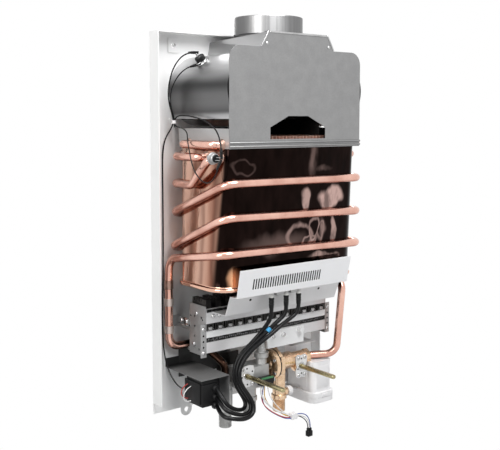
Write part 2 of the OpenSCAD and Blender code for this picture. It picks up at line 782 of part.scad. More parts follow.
neck_x = 14;
jet_y = 7;
jet_r = 2.5;
jet_seat = 4;
jet_head_r = 3.6;
jet_head_h = 7;
neck_z = lower_panel_z - 8;
neck_r = 7;

module burner_lower_panel() {
  half = burner_w / 2 - burner_t;
  color("silver") difference() {
    union() {
      block([-half, -burner_front, panel_low_z], [half, -burner_front + burner_t, lower_panel_z]);
      block([-half, -burner_front, panel_low_z], [half, -burner_back, panel_low_z + burner_t]);
    }
    rod_y([neck_x, -burner_front - over, neck_z], neck_r + slip, 2 * over + burner_t);
    rod_z([gas_tube_x, valve_y, panel_low_z - over], gas_tube_r + slip, 2 * over + burner_t);
  }
}

module burner_bar() {
  port_w = bar_w - 3;
  difference() {
    union() {
      block([-bar_w / 2, bar_front, inlet_low_z], [bar_w / 2, bar_back, rail_top_z - burner_t - near]);
      block([-port_w / 2, bar_front + 4, inlet_low_z + 2], [port_w / 2, bar_back, burner_top_z]);
    }
    block([-bar_w / 2 + 1.5, bar_front - over, inlet_low_z - over], [bar_w / 2 - 1.5, bar_front + 12,
      inlet_top_z - 2]);
    for (k = [0:4]) translate([0, bar_front + 8 + 6.5 * k, 0])
      block([-bar_w / 2, 0, burner_top_z - 5], [bar_w / 2, 2, burner_top_z + over]);
  }
}

module burner_bars() {
  color("dimgray") for (i = [0:bar_count - 1]) translate([bar_x(i), 0, 0]) burner_bar();
}

module gas_manifold() {
  half = burner_w / 2 - burner_t;
  casting_low_z = burner_bottom_z - 6;
  casting_y = -burner_front - near;
  color("whitesmoke") difference() {
    union() {
      block([-half, -burner_front, gas_rail_low_z], [half, -burner_front + 12, gas_rail_top_z]);
      block([gas_tube_x - gas_tube_r, -burner_front + burner_t + near, gas_joint_z],
        [neck_x + 10, valve_y + gas_tube_r, gas_rail_low_z + 1]);
      rod_y([neck_x, casting_y - 1, neck_z], neck_r, 8);
      block([-4, casting_y - 4, casting_low_z], [72, casting_y, lower_panel_z]);
      for (x = [4, 26]) rod_y([x, casting_y - 7, neck_z - 1], 4, 4);
      rod_y([62, casting_y - 12, neck_z + 2], 4.5, 9);
    }
    for (i = [0:bar_count - 1]) rod_z([bar_x(i), -burner_front + jet_y, gas_rail_top_z - jet_seat], jet_r,
      jet_seat + over);
  }
}

module injectors() {
  color("white") for (i = [0:bar_count - 1]) translate([bar_x(i), -burner_front + jet_y, 0]) {
    rod_z([0, 0, gas_rail_top_z - jet_seat], jet_r - 0.02, jet_seat + over);
    rod_z([0, 0, gas_rail_top_z], jet_head_r, jet_head_h);
  }
}

module electrode_insulators() {
  color("white") for (x = electrode_x) difference() {
    union() {
      rod_z([x, electrode_y, ceramic_low_z], ceramic_r, ceramic_top_z - ceramic_low_z);
      rod_z([x, electrode_y, vent_foot_z], ceramic_r + 1.5, ceramic_top_z - vent_foot_z - 0.5);
    }
    rod_z([x, electrode_y, ceramic_low_z - over], spark_rod_r + slip, 30);
  }
}

module electrode_rods() {
  tip_y = -burner_front + spark_reach;
  color("silver") for (x = electrode_x) swept_tube(rounded_route([[x, electrode_y, ceramic_low_z - 5],
    [x, electrode_y, rod_run_z], [x, tip_y, rod_run_z], [x, tip_y, burner_top_z + spark_gap]], [3, 3], 3), spark_rod_r, 8);
}

module electrode_boots() {
  color("black") for (x = electrode_x) difference() {
    rod_z([x, electrode_y, boot_low_z], ceramic_r + 0.2, ceramic_low_z - boot_low_z);
    rod_z([x, electrode_y, ceramic_low_z - 6], spark_rod_r + slip, 7);
  }
}

// Gas side

module gas_outlet_tube() {
  color("silver") difference() {
    rod_z([gas_tube_x, valve_y, gas_block_top_z], gas_tube_r, gas_joint_z - gas_block_top_z);
    rod_z([gas_tube_x, valve_y, gas_block_top_z - over], gas_tube_r - 1.5, 60);
  }
}

module gas_valve_body() {
  deck_z = gas_block_top_z - 10;
  color("silver") difference() {
    union() {
      block([gas_block_left, valve_front, gas_block_low_z], [gas_block_right, gas_block_back, deck_z]);
      rod_z([gas_tube_x, valve_y, deck_z - over], gas_tube_r + 1, 10 + over);
      rod_z([gas_in_x, gas_in_y, gas_block_low_z - 6], thread_r + 1.5, 7);
    }
    rod_y([gas_shaft_x, valve_front - over, gas_shaft_z], shaft_r + run_gap, shaft_seat + over);
    rod_x([rod_tail_x - rod_travel - over, valve_y, rod_z], rod_r + run_gap,
      gas_block_right - rod_tail_x + rod_travel + 2 * over);
  }
}

module shaft_plate(x, z, w, h) {
  color("whitesmoke") difference() {
    block([x - w / 2, valve_front - plate_gauge, z - h / 2], [x + w / 2, valve_front, z + h / 2]);
    rod_y([x, valve_front - plate_gauge - over, z], shaft_r + run_gap, plate_gauge + 2 * over);
  }
}

module gas_shaft_plate() {
  shaft_plate(gas_shaft_x, gas_shaft_z, 30, 36);
}

module knob_shaft(x, z, free) {
  plate_front = valve_front - plate_gauge;
  tip = plate_front - free;
  color("tan") difference() {
    union() {
      rod_y([x, tip, z], shaft_r, free - groove_at - groove_w);
      rod_y([x, tip, z], shaft_r - 0.6, free + plate_gauge);
      rod_y([x, plate_front - groove_at, z], shaft_r, groove_at + plate_gauge + shaft_seat - 1);
    }
    block([x - shaft_r, tip - over, z + shaft_r - shaft_flat], [x + shaft_r, tip + flat_l, z + shaft_r + over]);
  }
}

module gas_shaft() {
  knob_shaft(gas_shaft_x, gas_shaft_z, gas_shaft_l);
}

module pipe_stub(x, y, top_z, end_z, collar) {
  difference() {
    union() {
      rod_z([x, y, end_z], thread_r, top_z - end_z);
      rod_z([x, y, end_z + 22], thread_r + collar, 7);
    }
    rod_z([x, y, end_z - over], thread_r - 3, top_z - end_z - 3);
  }
}

module gas_inlet() {
  color("silver") pipe_stub(gas_in_x, gas_in_y, gas_block_low_z - 6, gas_end_z, 2);
}

// Water side

module screw_ring(from_x, r, long) {
  for (k = [0:5]) rod_x([from_x, valve_y + (diaphragm_r - 4) * cos(60 * k + 30),
    rod_z + (diaphragm_r - 4) * sin(60 * k + 30)], r, long);
}

module water_valve_body() {
  color("goldenrod") difference() {
    union() {
      rod_x([body_flange_x, valve_y, rod_z], diaphragm_r, flange_l);
      rod_x([barrel_x - over, valve_y, rod_z], barrel_r, water_shaft_x - 14 - barrel_x);
      rod_x([barrel_x - over, valve_y, rod_z], valve_y - valve_front - 0.5, barrel_end_x - barrel_x + over);
      rod_y([water_shaft_x, valve_front, water_shaft_z], 12, valve_y - valve_front);
      rod_z([cold_x, valve_y, branch_low_z], thread_r + 0.5, rod_z - branch_low_z);
    }
    rod_x([body_flange_x - over, valve_y, rod_z], diaphragm_r - 8, 5);
    rod_y([water_shaft_x, valve_front - over, water_shaft_z], shaft_r + run_gap, shaft_seat + over);
    screw_ring(body_flange_x - over, 1.5, 6);
  }
}

module diaphragm_cover() {
  color("goldenrod") difference() {
    union() {
      rod_x([cover_x, valve_y, rod_z], diaphragm_r, cover_l);
      rod_x([gas_block_right, valve_y + 12, rod_z - 15], 3, cover_x - gas_block_right + over);
      rod_x([gas_block_right, valve_y + 14, rod_z], 3, cover_x - gas_block_right + over);
    }
    rod_x([cover_x + 2, valve_y, rod_z], diaphragm_r - 8, cover_l);
    rod_x([cover_x - over, valve_y, rod_z], rod_r + run_gap, cover_l);
    screw_ring(cover_x - over, 1.5, cover_l + 2 * over);
  }
}

module diaphragm() {
  color("black") difference() {
    rod_x([cover_x + cover_l, valve_y, rod_z], diaphragm_r, rubber_t);
    screw_ring(cover_x, 1.5, 2 * cover_l);
  }
}

module push_rod() {
  plate_x = cover_x + 2 + rod_travel + 0.5;
  color("silver") {
    rod_x([rod_tail_x, valve_y, rod_z], rod_r, plate_x + over - rod_tail_x);
    rod_x([plate_x, valve_y, rod_z], diaphragm_r - 11, 2);
    block([arm_x, switch_y - 3, switch_z - 3], [arm_x + arm_t, valve_y + rod_r, switch_z + 3]);
    block([arm_x, valve_y - rod_r, switch_z - 3], [arm_x + arm_t, valve_y + rod_r, rod_z]);
  }
}

module valve_screws() {
  color("silver") {
    screw_ring(cover_x - 2, 2.8, 2);
    screw_ring(cover_x - over, 1.45, cover_l + rubber_t + over + 4);
  }
}

module water_shaft_plate() {
  shaft_plate(water_shaft_x, water_shaft_z, 24, 40);
}

module water_shaft() {
  knob_shaft(water_shaft_x, water_shaft_z, water_shaft_l);
}

module cold_inlet() {
  color("goldenrod") difference() {
    union() {
      pipe_stub(cold_x, valve_y, branch_low_z, cold_end_z, 2.5);
      rod_x([cold_x, valve_y, knob_z + 12], 6, thread_r + 6);
    }
    rod_x([cold_x, valve_y, knob_z + 12], 3 + run_gap, thread_r + 7);
    rod_z([cold_x, valve_y, cold_end_z - over], thread_r - 3, branch_low_z - cold_end_z - 3);
  }
}

module drain_knob() {
  seat_x = cold_x + thread_r + 6 + near;
  color("ivory") {
    rod_x([seat_x - 7, valve_y, knob_z + 12], 3, 8);
    rod_x([seat_x, valve_y, knob_z + 12], 8.5, 9);
  }
}

module microswitch() {
  color("black") difference() {
    block([-24, switch_y - 6, switch_z - 6], [button_x, switch_y + 6, switch_z + 6]);
    rod_x([button_x - 8, switch_y, switch_z], 1.5 + run_gap, 9);
  }
}

module microswitch_button() {
  tip = arm_x - near;
  color("red") rod_x([button_x - 4, switch_y, switch_z], 1.5, tip - button_x + 4);
}

// Connections, brackets and boxes

module hot_outlet() {
  color("silver") difference() {
    union() {
      rod_z([hot_x, hot_y, hot_end_z], thread_r, 26);
      rod_z([hot_x, hot_y, hot_end_z + 26], thread_r + 1.5, hot_joint_z - hot_end_z - 26);
    }
    rod_z([hot_x, hot_y, hot_end_z - over], thread_r - 3, 24);
  }
}

module valve_bracket() {
  shelf_z = -262;
  color("silver") across(gas_block_left + 10, gas_block_right)
    polygon(bent_sheet([[plate_face, shelf_z + 30], [plate_face, shelf_z], [gas_block_back, shelf_z],
      [gas_block_back, shelf_z + 16]], -cover_t));
}

module igniter_cover() {
  color("gray") {
    block([cover_left, cover_front, cover_z], [cover_right, plate_face, cover_z + cover_t]);
    block([cover_right - cover_t, cover_front, cover_z - cover_drop], [cover_right, plate_face, cover_z + cover_t]);
    block([cover_left, plate_face - cover_t, cover_z], [cover_right, plate_face, cover_z + cover_lip]);
  }
}

module igniter_box() {
  top_z = cover_z;
  color("black") {
    block([igniter_x, igniter_front, top_z - igniter_h], [igniter_x + igniter_w, igniter_front + igniter_d, top_z]);
    block([igniter_x - 2, igniter_front + 4, top_z - igniter_h + 4], [igniter_x + 1, igniter_front + igniter_d + 3,
      top_z - 6]);
  }
}

module battery_shape(grow, low_z, high_z) {
  translate([battery_x + battery_w / 2, battery_back - battery_d / 2, low_z]) linear_extrude(high_z - low_z)
    rounded(battery_w + 2 * grow, battery_d + 2 * grow, 10 + grow);
}

module battery_box() {
  top_z = battery_base_z + battery_h;
  color("white") {
    difference() {
      union() {
        battery_shape(0, battery_base_z, top_z);
        battery_shape(battery_flare, battery_base_z, battery_base_z + 9);
      }
      battery_shape(-battery_t, battery_base_z - over, top_z - battery_t);
    }
    for (s = [-1, 1]) translate([battery_x + battery_w / 2 + s * (knuckle_w / 2 + near + 2), 0, 0]) {
        block([-2, hinge_y - hinge_reach - over, battery_base_z], [2, hinge_y, battery_base_z + pin_r + 1]);
        rod_x([-2, hinge_y, battery_base_z], pin_r + 1, 4);
      }
    rod_x([battery_x + battery_w / 2 - knuckle_w / 2 - 3, hinge_y, battery_base_z], pin_r, knuckle_w + 6);
  }
}

module battery_lid() {
  middle = battery_x + battery_w / 2;
  color("white") difference() {
    union() {
      difference() {
        battery_shape(battery_flare, battery_base_z - lid_h, battery_base_z - near);
        battery_shape(0, battery_base_z - lid_h + 2, battery_base_z + over);
      }
      rod_x([middle - knuckle_w / 2, hinge_y, battery_base_z], pin_r + 1.5, knuckle_w);
      block([middle - knuckle_w / 2, hinge_y - hinge_reach - over, battery_base_z - 5],
        [middle + knuckle_w / 2, hinge_y, battery_base_z - 1.6]);
    }
    rod_x([middle - knuckle_w, hinge_y, battery_base_z], pin_r + run_gap, 2 * knuckle_w);
  }
}

module batteries() {
  low_z = battery_base_z - lid_h + 2 + near;
  x = battery_x + battery_w / 2;
  y = battery_back - battery_d / 2;
  color("darkslategray") for (s = [-1, 1]) translate([x, y + s * (cell_r + 0.4), 0]) {
    rod_z([0, 0, low_z], cell_r, cell_l - 2);
    rod_z([0, 0, low_z], 4, cell_l);
  }
}

module battery_bracket() {
  shelf_z = battery_base_z + battery_h + shelf_rise;
  color("gainsboro") {
    block([battery_x - shelf_left, plate_face - cover_t, shelf_z - shelf_lip],
      [battery_x + shelf_right, plate_face, shelf_z]);
    block([battery_x - shelf_left, battery_back - shelf_reach, shelf_z - cover_t],
      [battery_x + shelf_right, plate_face, shelf_z]);
    block([battery_x - 2, battery_back, battery_base_z + 12], [battery_x + shelf_right, battery_back + cover_t, shelf_z]);
  }
}

// Leads and wires

module ignition_lead_left() {
  color("black") swept_tube(lead_left, lead_r, 8);
}

module ignition_lead_middle() {
  color("black") swept_tube(lead_middle, lead_r, 8);
}

module ignition_lead_right() {
  color("black") swept_tube(lead_right, lead_r, 8);
}

module thermostat_wire() {
  color("black") swept_tube(thermostat_points, wire_r, 8);
}

module overheat_wire() {
  color("black") swept_tube(overheat_points, wire_r, 8);
}

module cable_tie() {
  x = (thermostat_points[8].x + overheat_points[1].x) / 2;
  hole = 2 * wire_r + 0.4;
  color("white") difference() {
    rod_z([x, thermostat_points[8].y, 154], hole + 1.3, 5);
    rod_z([x, thermostat_points[8].y, 154 - over], hole, 5 + 2 * over);
  }
}

module loom() {
  color("firebrick") {
    swept_tube(loom_points, loom_r, 8);
    swept_tube(tail_points, loom_r, 8);
  }
}

module loom_connector() {
  color("white") block([18, -122, -326], [30, -113, -316]);
}

module loom_plug() {
  color("black") block([51, -125, -362], [63, -115, -348]);
}

back_plate();
wall_brackets();
flue_collar();
hood_body();
hood_front_plate();
hood_skirt();
hood_baffle();
flue_thermostat();
exchanger_shell();
exchanger_fins();
exchanger_tubes();
coil_tube();
cold_pipe();
hot_pipe();
pipe_sleeves();
overheat_thermostat();
vent_plate();
burner_bracket();
burner_end_plates();
burner_top_rail();
burner_lower_panel();
burner_bars();
gas_manifold();
injectors();
electrode_insulators();
electrode_rods();
electrode_boots();
gas_outlet_tube();
gas_valve_body();
gas_shaft_plate();
gas_shaft();
gas_inlet();
water_valve_body();
diaphragm_cover();
diaphragm();
push_rod();
valve_screws();
water_shaft_plate();
water_shaft();
cold_inlet();
drain_knob();
microswitch();
microswitch_button();
hot_outlet();
valve_bracket();
igniter_cover();
igniter_box();
battery_box();
battery_lid();
batteries();
battery_bracket();
ignition_lead_left();
ignition_lead_middle();
ignition_lead_right();
thermostat_wire();
overheat_wire();
cable_tie();
loom();
loom_connector();
loom_plug();
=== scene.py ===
"""Looks of a wall-hung tankless gas water heater with its front cover off."""
import json
import math

import bpy
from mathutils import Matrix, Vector


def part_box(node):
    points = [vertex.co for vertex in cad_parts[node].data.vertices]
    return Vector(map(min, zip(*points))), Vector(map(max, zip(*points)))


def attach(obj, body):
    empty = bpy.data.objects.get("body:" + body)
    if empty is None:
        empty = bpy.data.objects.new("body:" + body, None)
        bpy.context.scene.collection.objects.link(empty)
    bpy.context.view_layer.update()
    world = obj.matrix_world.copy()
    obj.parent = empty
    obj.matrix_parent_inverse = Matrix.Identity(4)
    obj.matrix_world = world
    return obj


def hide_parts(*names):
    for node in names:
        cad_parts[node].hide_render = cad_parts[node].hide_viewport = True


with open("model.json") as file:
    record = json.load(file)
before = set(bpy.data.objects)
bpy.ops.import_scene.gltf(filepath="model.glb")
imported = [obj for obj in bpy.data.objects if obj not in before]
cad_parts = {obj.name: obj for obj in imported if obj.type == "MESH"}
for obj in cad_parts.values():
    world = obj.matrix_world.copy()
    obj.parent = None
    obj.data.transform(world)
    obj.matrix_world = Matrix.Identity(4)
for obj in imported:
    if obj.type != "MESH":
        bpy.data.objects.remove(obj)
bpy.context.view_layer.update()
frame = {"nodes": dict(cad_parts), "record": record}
MM = 0.001
HEATER = "heater"
UP = (0, 0, 1)
RIGHT = (1, 0, 0)
LEFT = (-1, 0, 0)
FORWARD = (0, -1, 0)


# Camera, light and floor

CAMERA_PLACE = (-0.8637, -1.1241, 0.1582)
CAMERA_TURN = -38.40
CAMERA_PITCH = 5.02
CAMERA_FOCAL_PX = 844.0
CAMERA_SHIFT = -0.06
CAMERA_NEAR = 0.02
CAMERA_FAR = 60
PICTURE_W = 500
SENSOR_W = 36.0
FLOOR_Z = -1.25
FLOOR_W = 40
FLOOR_COLOUR = (0.8, 0.8, 0.8, 1)
SKY_COLOUR = (0.86, 0.90, 0.95, 1)
SKY_STRENGTH = 0.22
WHITE = (1, 1, 1, 1)

LAMPS = (
    ("left_softbox", (-2.1, -0.6, 1.0), (0, -0.08, 0.05), (0.9, 1.8), 36, (1, 0.99, 0.97)),
    ("front_softbox", (-0.1, -1.5, 1.7), (0, -0.05, 0.15), (1.2, 1.2), 48, (1, 1, 1)),
    ("top_softbox", (-0.2, -0.5, 1.9), (0, -0.08, 0.1), (1.4, 1.0), 20, (1, 1, 1)),
    ("back_softbox", (0.9, 2.3, 1.0), (0, 0, 0), (1.4, 1.4), 40, (1, 1, 1)),
)


def set_camera():
    data = bpy.data.cameras.new("photo_camera")
    camera = bpy.data.objects.new("photo_camera", data)
    bpy.context.scene.collection.objects.link(camera)
    camera.location = CAMERA_PLACE
    camera.rotation_euler = (math.radians(90 - CAMERA_PITCH), 0, math.radians(CAMERA_TURN))
    data.sensor_width = SENSOR_W
    data.lens = CAMERA_FOCAL_PX / PICTURE_W * SENSOR_W
    data.shift_y = CAMERA_SHIFT
    data.clip_start = CAMERA_NEAR
    data.clip_end = CAMERA_FAR
    bpy.context.scene.camera = camera


def seen_directly(tree):
    """One where a camera, glossy or transmission ray looks, and nought elsewhere."""
    path = tree.nodes.new("ShaderNodeLightPath").outputs
    near = add_maths(tree, "MAXIMUM", path["Is Camera Ray"], path["Is Glossy Ray"])
    return add_maths(tree, "MAXIMUM", near, path["Is Transmission Ray"])


def show_white(tree, plain, glow, end):
    """Ends a tree in a plain shader, and in white where it is looked at directly."""
    white = add_node(tree, glow, {"Color": WHITE, "Strength": 1.0})
    mix = add_node(tree, "MixShader", {0: seen_directly(tree), 1: plain.outputs[0], 2: white.outputs[0]})
    add_node(tree, end, {0: mix.outputs[0]})


def set_world():
    world = bpy.data.worlds.new("studio")
    bpy.context.scene.world = world
    world.use_nodes = True
    tree = world.node_tree
    tree.nodes.clear()
    soft = add_node(tree, "Background", {"Color": SKY_COLOUR, "Strength": SKY_STRENGTH})
    show_white(tree, soft, "Background", "OutputWorld")


def set_lamps():
    for name, place, target, size, power, colour in LAMPS:
        data = bpy.data.lights.new(name, "AREA")
        data.shape = "RECTANGLE"
        data.size, data.size_y = size
        data.energy = power
        data.color = colour
        lamp = bpy.data.objects.new(name, data)
        bpy.context.scene.collection.objects.link(lamp)
        lamp.location = place
        lamp.rotation_euler = (Vector(target) - Vector(place)).to_track_quat("-Z", "Y").to_euler()


def set_floor():
    clear_choice()
    bpy.ops.mesh.primitive_plane_add(size=FLOOR_W, location=(0, 0, FLOOR_Z))
    floor = bpy.context.object
    floor.name = "floor"
    settle(floor)
    material = bpy.data.materials.new("pale_floor")
    material.use_nodes = True
    tree = material.node_tree
    tree.nodes.clear()
    matt = add_node(tree, "BsdfDiffuse", {"Color": FLOOR_COLOUR})
    show_white(tree, matt, "Emission", "OutputMaterial")
    floor.data.materials.append(material)


# Ways of building a finish

def feed(tree, node, inputs):
    """Sets a node's inputs to values, or links them to other nodes' outputs."""
    for key, value in inputs.items():
        if isinstance(value, bpy.types.NodeSocket):
            tree.links.new(value, node.inputs[key])
        else:
            node.inputs[key].default_value = value


def add_node(tree, kind, inputs, **settings):
    node = tree.nodes.new("ShaderNode" + kind)
    for key, value in settings.items():
        setattr(node, key, value)
    feed(tree, node, inputs)
    return node


def add_places(tree):
    """The coordinates and normals of the piece."""
    return tree.nodes.new("ShaderNodeTexCoord").outputs


def add_axes(tree, vector):
    return add_node(tree, "SeparateXYZ", {0: vector}).outputs


def add_maths(tree, operation, first, second=0.0):
    return add_node(tree, "Math", {0: first, 1: second}, operation=operation).outputs[0]


def add_vector(tree, operation, first, second):
    return add_node(tree, "VectorMath", {0: first, 1: second}, operation=operation).outputs


def add_range(tree, value, start, end, low=0.0, high=1.0, way="SMOOTHSTEP"):
    """A step from low to high while a value goes from start to end."""
    inputs = {"Value": value, "From Min": start, "From Max": end, "To Min": low, "To Max": high}
    return add_node(tree, "MapRange", inputs, interpolation_type=way).outputs["Result"]


def add_blend(tree, factor, first, second):
    """A colour between two, each a colour or another node's output."""
    ends = [(*end, 1) if isinstance(end, tuple) else end for end in (first, second)]
    inputs = {"Factor": factor, "A": ends[0], "B": ends[1]}
    return add_node(tree, "Mix", inputs, data_type="RGBA").outputs["Result"]


def add_relief(tree, height, strength, distance):
    inputs = {"Height": height, "Strength": strength, "Distance": distance}
    return add_node(tree, "Bump", inputs).outputs["Normal"]


def add_noise(tree, vector, scale, detail, roughness=0.5):
    inputs = {"Vector": vector, "Scale": scale, "Detail": detail, "Roughness": roughness}
    return add_node(tree, "TexNoise", inputs).outputs


def add_spot(tree, vector, place, half):
    """One at a place, falling to nought at its half width in each direction."""
    inputs = {"Vector": vector, "Location": [v * MM for v in place], "Scale": [v * MM for v in half]}
    spot = add_node(tree, "Mapping", inputs, vector_type="TEXTURE")
    ball = add_node(tree, "TexGradient", {"Vector": spot.outputs["Vector"]}, gradient_type="SPHERICAL")
    return ball.outputs["Fac"]


def add_ripple(tree, vector, scale, stretch, reach):
    """The coordinates pushed about by a soft noise, up to a reach in millimetres."""
    pulled = add_vector(tree, "MULTIPLY", vector, stretch)[0]
    noise = add_noise(tree, pulled, scale, 2.0)["Color"]
    centred = add_vector(tree, "SUBTRACT", noise, (0.5, 0.5, 0.5))[0]
    inputs = {0: centred, 1: [4 * reach * MM] * 3, 2: vector}
    return add_node(tree, "VectorMath", inputs, operation="MULTIPLY_ADD").outputs[0]


def add_ramp(tree, value, stops):
    """Colours that follow a value along a row of stops."""
    ramp = add_node(tree, "ValToRGB", {"Fac": value})
    ramp.color_ramp.interpolation = "B_SPLINE"
    points = ramp.color_ramp.elements
    while len(points) < len(stops):
        points.new(0.5)
    for point, (spot, colour) in zip(points, stops):
        point.position = spot
        point.color = (*colour, 1)
    return ramp.outputs["Color"]


def add_bands(tree, value, bands):
    """Greys that follow a value along a row of stops."""
    return add_ramp(tree, value, [(spot, (v, v, v * 1.01)) for spot, v in bands])


def make_group(name, sockets):
    """A node group: its tree, its start's outputs and its end."""
    tree = bpy.data.node_groups.new(name, "ShaderNodeTree")
    for label, way, kind, value in sockets:
        socket = tree.interface.new_socket(name=label, in_out=way, socket_type="NodeSocket" + kind)
        if value is not None:
            socket.default_value = value
    return tree, tree.nodes.new("NodeGroupInput").outputs, tree.nodes.new("NodeGroupOutput")


def make_mottle_group():
    """Soft patches and fine specks, each as a value from nought to one."""
    tree, start, end = make_group("mottle", (
        ("Patch Scale", "INPUT", "Float", 30.0), ("Speck Scale", "INPUT", "Float", 700.0),
        ("Stretch", "INPUT", "Vector", (1.0, 1.0, 1.0)),
        ("Patches", "OUTPUT", "Float", None), ("Specks", "OUTPUT", "Float", None)))
    pulled = add_vector(tree, "MULTIPLY", add_places(tree)["Object"], start["Stretch"])[0]
    patch = add_noise(tree, pulled, start["Patch Scale"], 4.0, 0.55)["Fac"]
    speck = add_noise(tree, pulled, start["Speck Scale"], 2.0)["Fac"]
    feed(tree, end, {"Patches": add_range(tree, patch, 0.32, 0.68, way="LINEAR"), "Specks": speck})
    return tree


def make_inside_shade_group():
    """A mask for painted shade: one on the faces that look towards a hollow's centre, and nought outside it.
    """
    tree, start, end = make_group("inside_shade", (("Centre", "INPUT", "Vector", (0.0, 0.0, 0.0)),
                                           ("Inside", "OUTPUT", "Float", None)))
    place = add_places(tree)
    away = add_vector(tree, "SUBTRACT", place["Object"], start["Centre"])[0]
    facing = add_vector(tree, "DOT_PRODUCT", away, place["Normal"])["Value"]
    feed(tree, end, {"Inside": add_maths(tree, "LESS_THAN", facing, HOLLOW_EDGE)})
    return tree


HOLLOW_EDGE = -0.002
# Near-black painted shade on the faces inside hollows
INSIDE_SHADE_COLOUR = (0.006, 0.005, 0.005)
RELIEF_DEPTH = 0.0004
COAT_ROUGHNESS = 0.12
MOTTLE = make_mottle_group()
INSIDE_SHADE = make_inside_shade_group()


def add_mottle(tree, patch, speck, stretch):
    inputs = {"Patch Scale": patch, "Speck Scale": speck, "Stretch": stretch}
    return add_node(tree, "Group", inputs, node_tree=MOTTLE).outputs


def add_inside_shade(tree, shader, centre, colour, gloss):
    """Colour and roughness turned to matt near-black inside a hollow, as painted shade."""
    inside = add_node(tree, "Group", {"Centre": centre}, node_tree=INSIDE_SHADE).outputs["Inside"]
    metal = shader.inputs["Metallic"].default_value
    feed(tree, shader, {"Metallic": add_range(tree, inside, 0.0, 1.0, metal, 0.0)})
    return add_blend(tree, inside, colour, INSIDE_SHADE_COLOUR), add_maths(tree, "MAXIMUM", gloss, inside)


def new_finish(name, metallic):
    """A new material with its node tree and its shader."""
    material = bpy.data.materials.new(name)
    material.use_nodes = True
    tree = material.node_tree
    shader = tree.nodes["Principled BSDF"]
    shader.inputs["Metallic"].default_value = metallic
    return material, tree, shader


def make_finish(name, light, dark, metallic, rough, patch, speck=900, stretch=(1, 1, 1), bump=0.03, coat=0.0,
                specular=0.5, grain=0.2, hollow=None):
    """A finish that drifts between two colours and two roughnesses, with a fine grain."""
    material, tree, shader = new_finish(name, metallic)
    mottle = add_mottle(tree, patch, speck, stretch)
    share = add_node(tree, "Mix", {"Factor": grain, "A": mottle["Patches"], "B": mottle["Specks"]})
    colour = add_blend(tree, share.outputs["Result"], light, dark)
    gloss = add_range(tree, mottle["Specks"], 0.2, 0.8, *rough)
    if hollow is not None:
        colour, gloss = add_inside_shade(tree, shader, hollow, colour, gloss)
    feed(tree, shader, {"Base Color": colour, "Roughness": gloss, "Specular IOR Level": specular,
                        "Coat Weight": coat, "Coat Roughness": COAT_ROUGHNESS,
                        "Normal": add_relief(tree, mottle["Specks"], bump, RELIEF_DEPTH)})
    return material


# Finishes

# Centres of the hollows whose inside faces get painted shade
HOOD_HOLLOW = (0, -0.077, 0.20)
SKIRT_HOLLOW = (0, -0.085, 0.160)

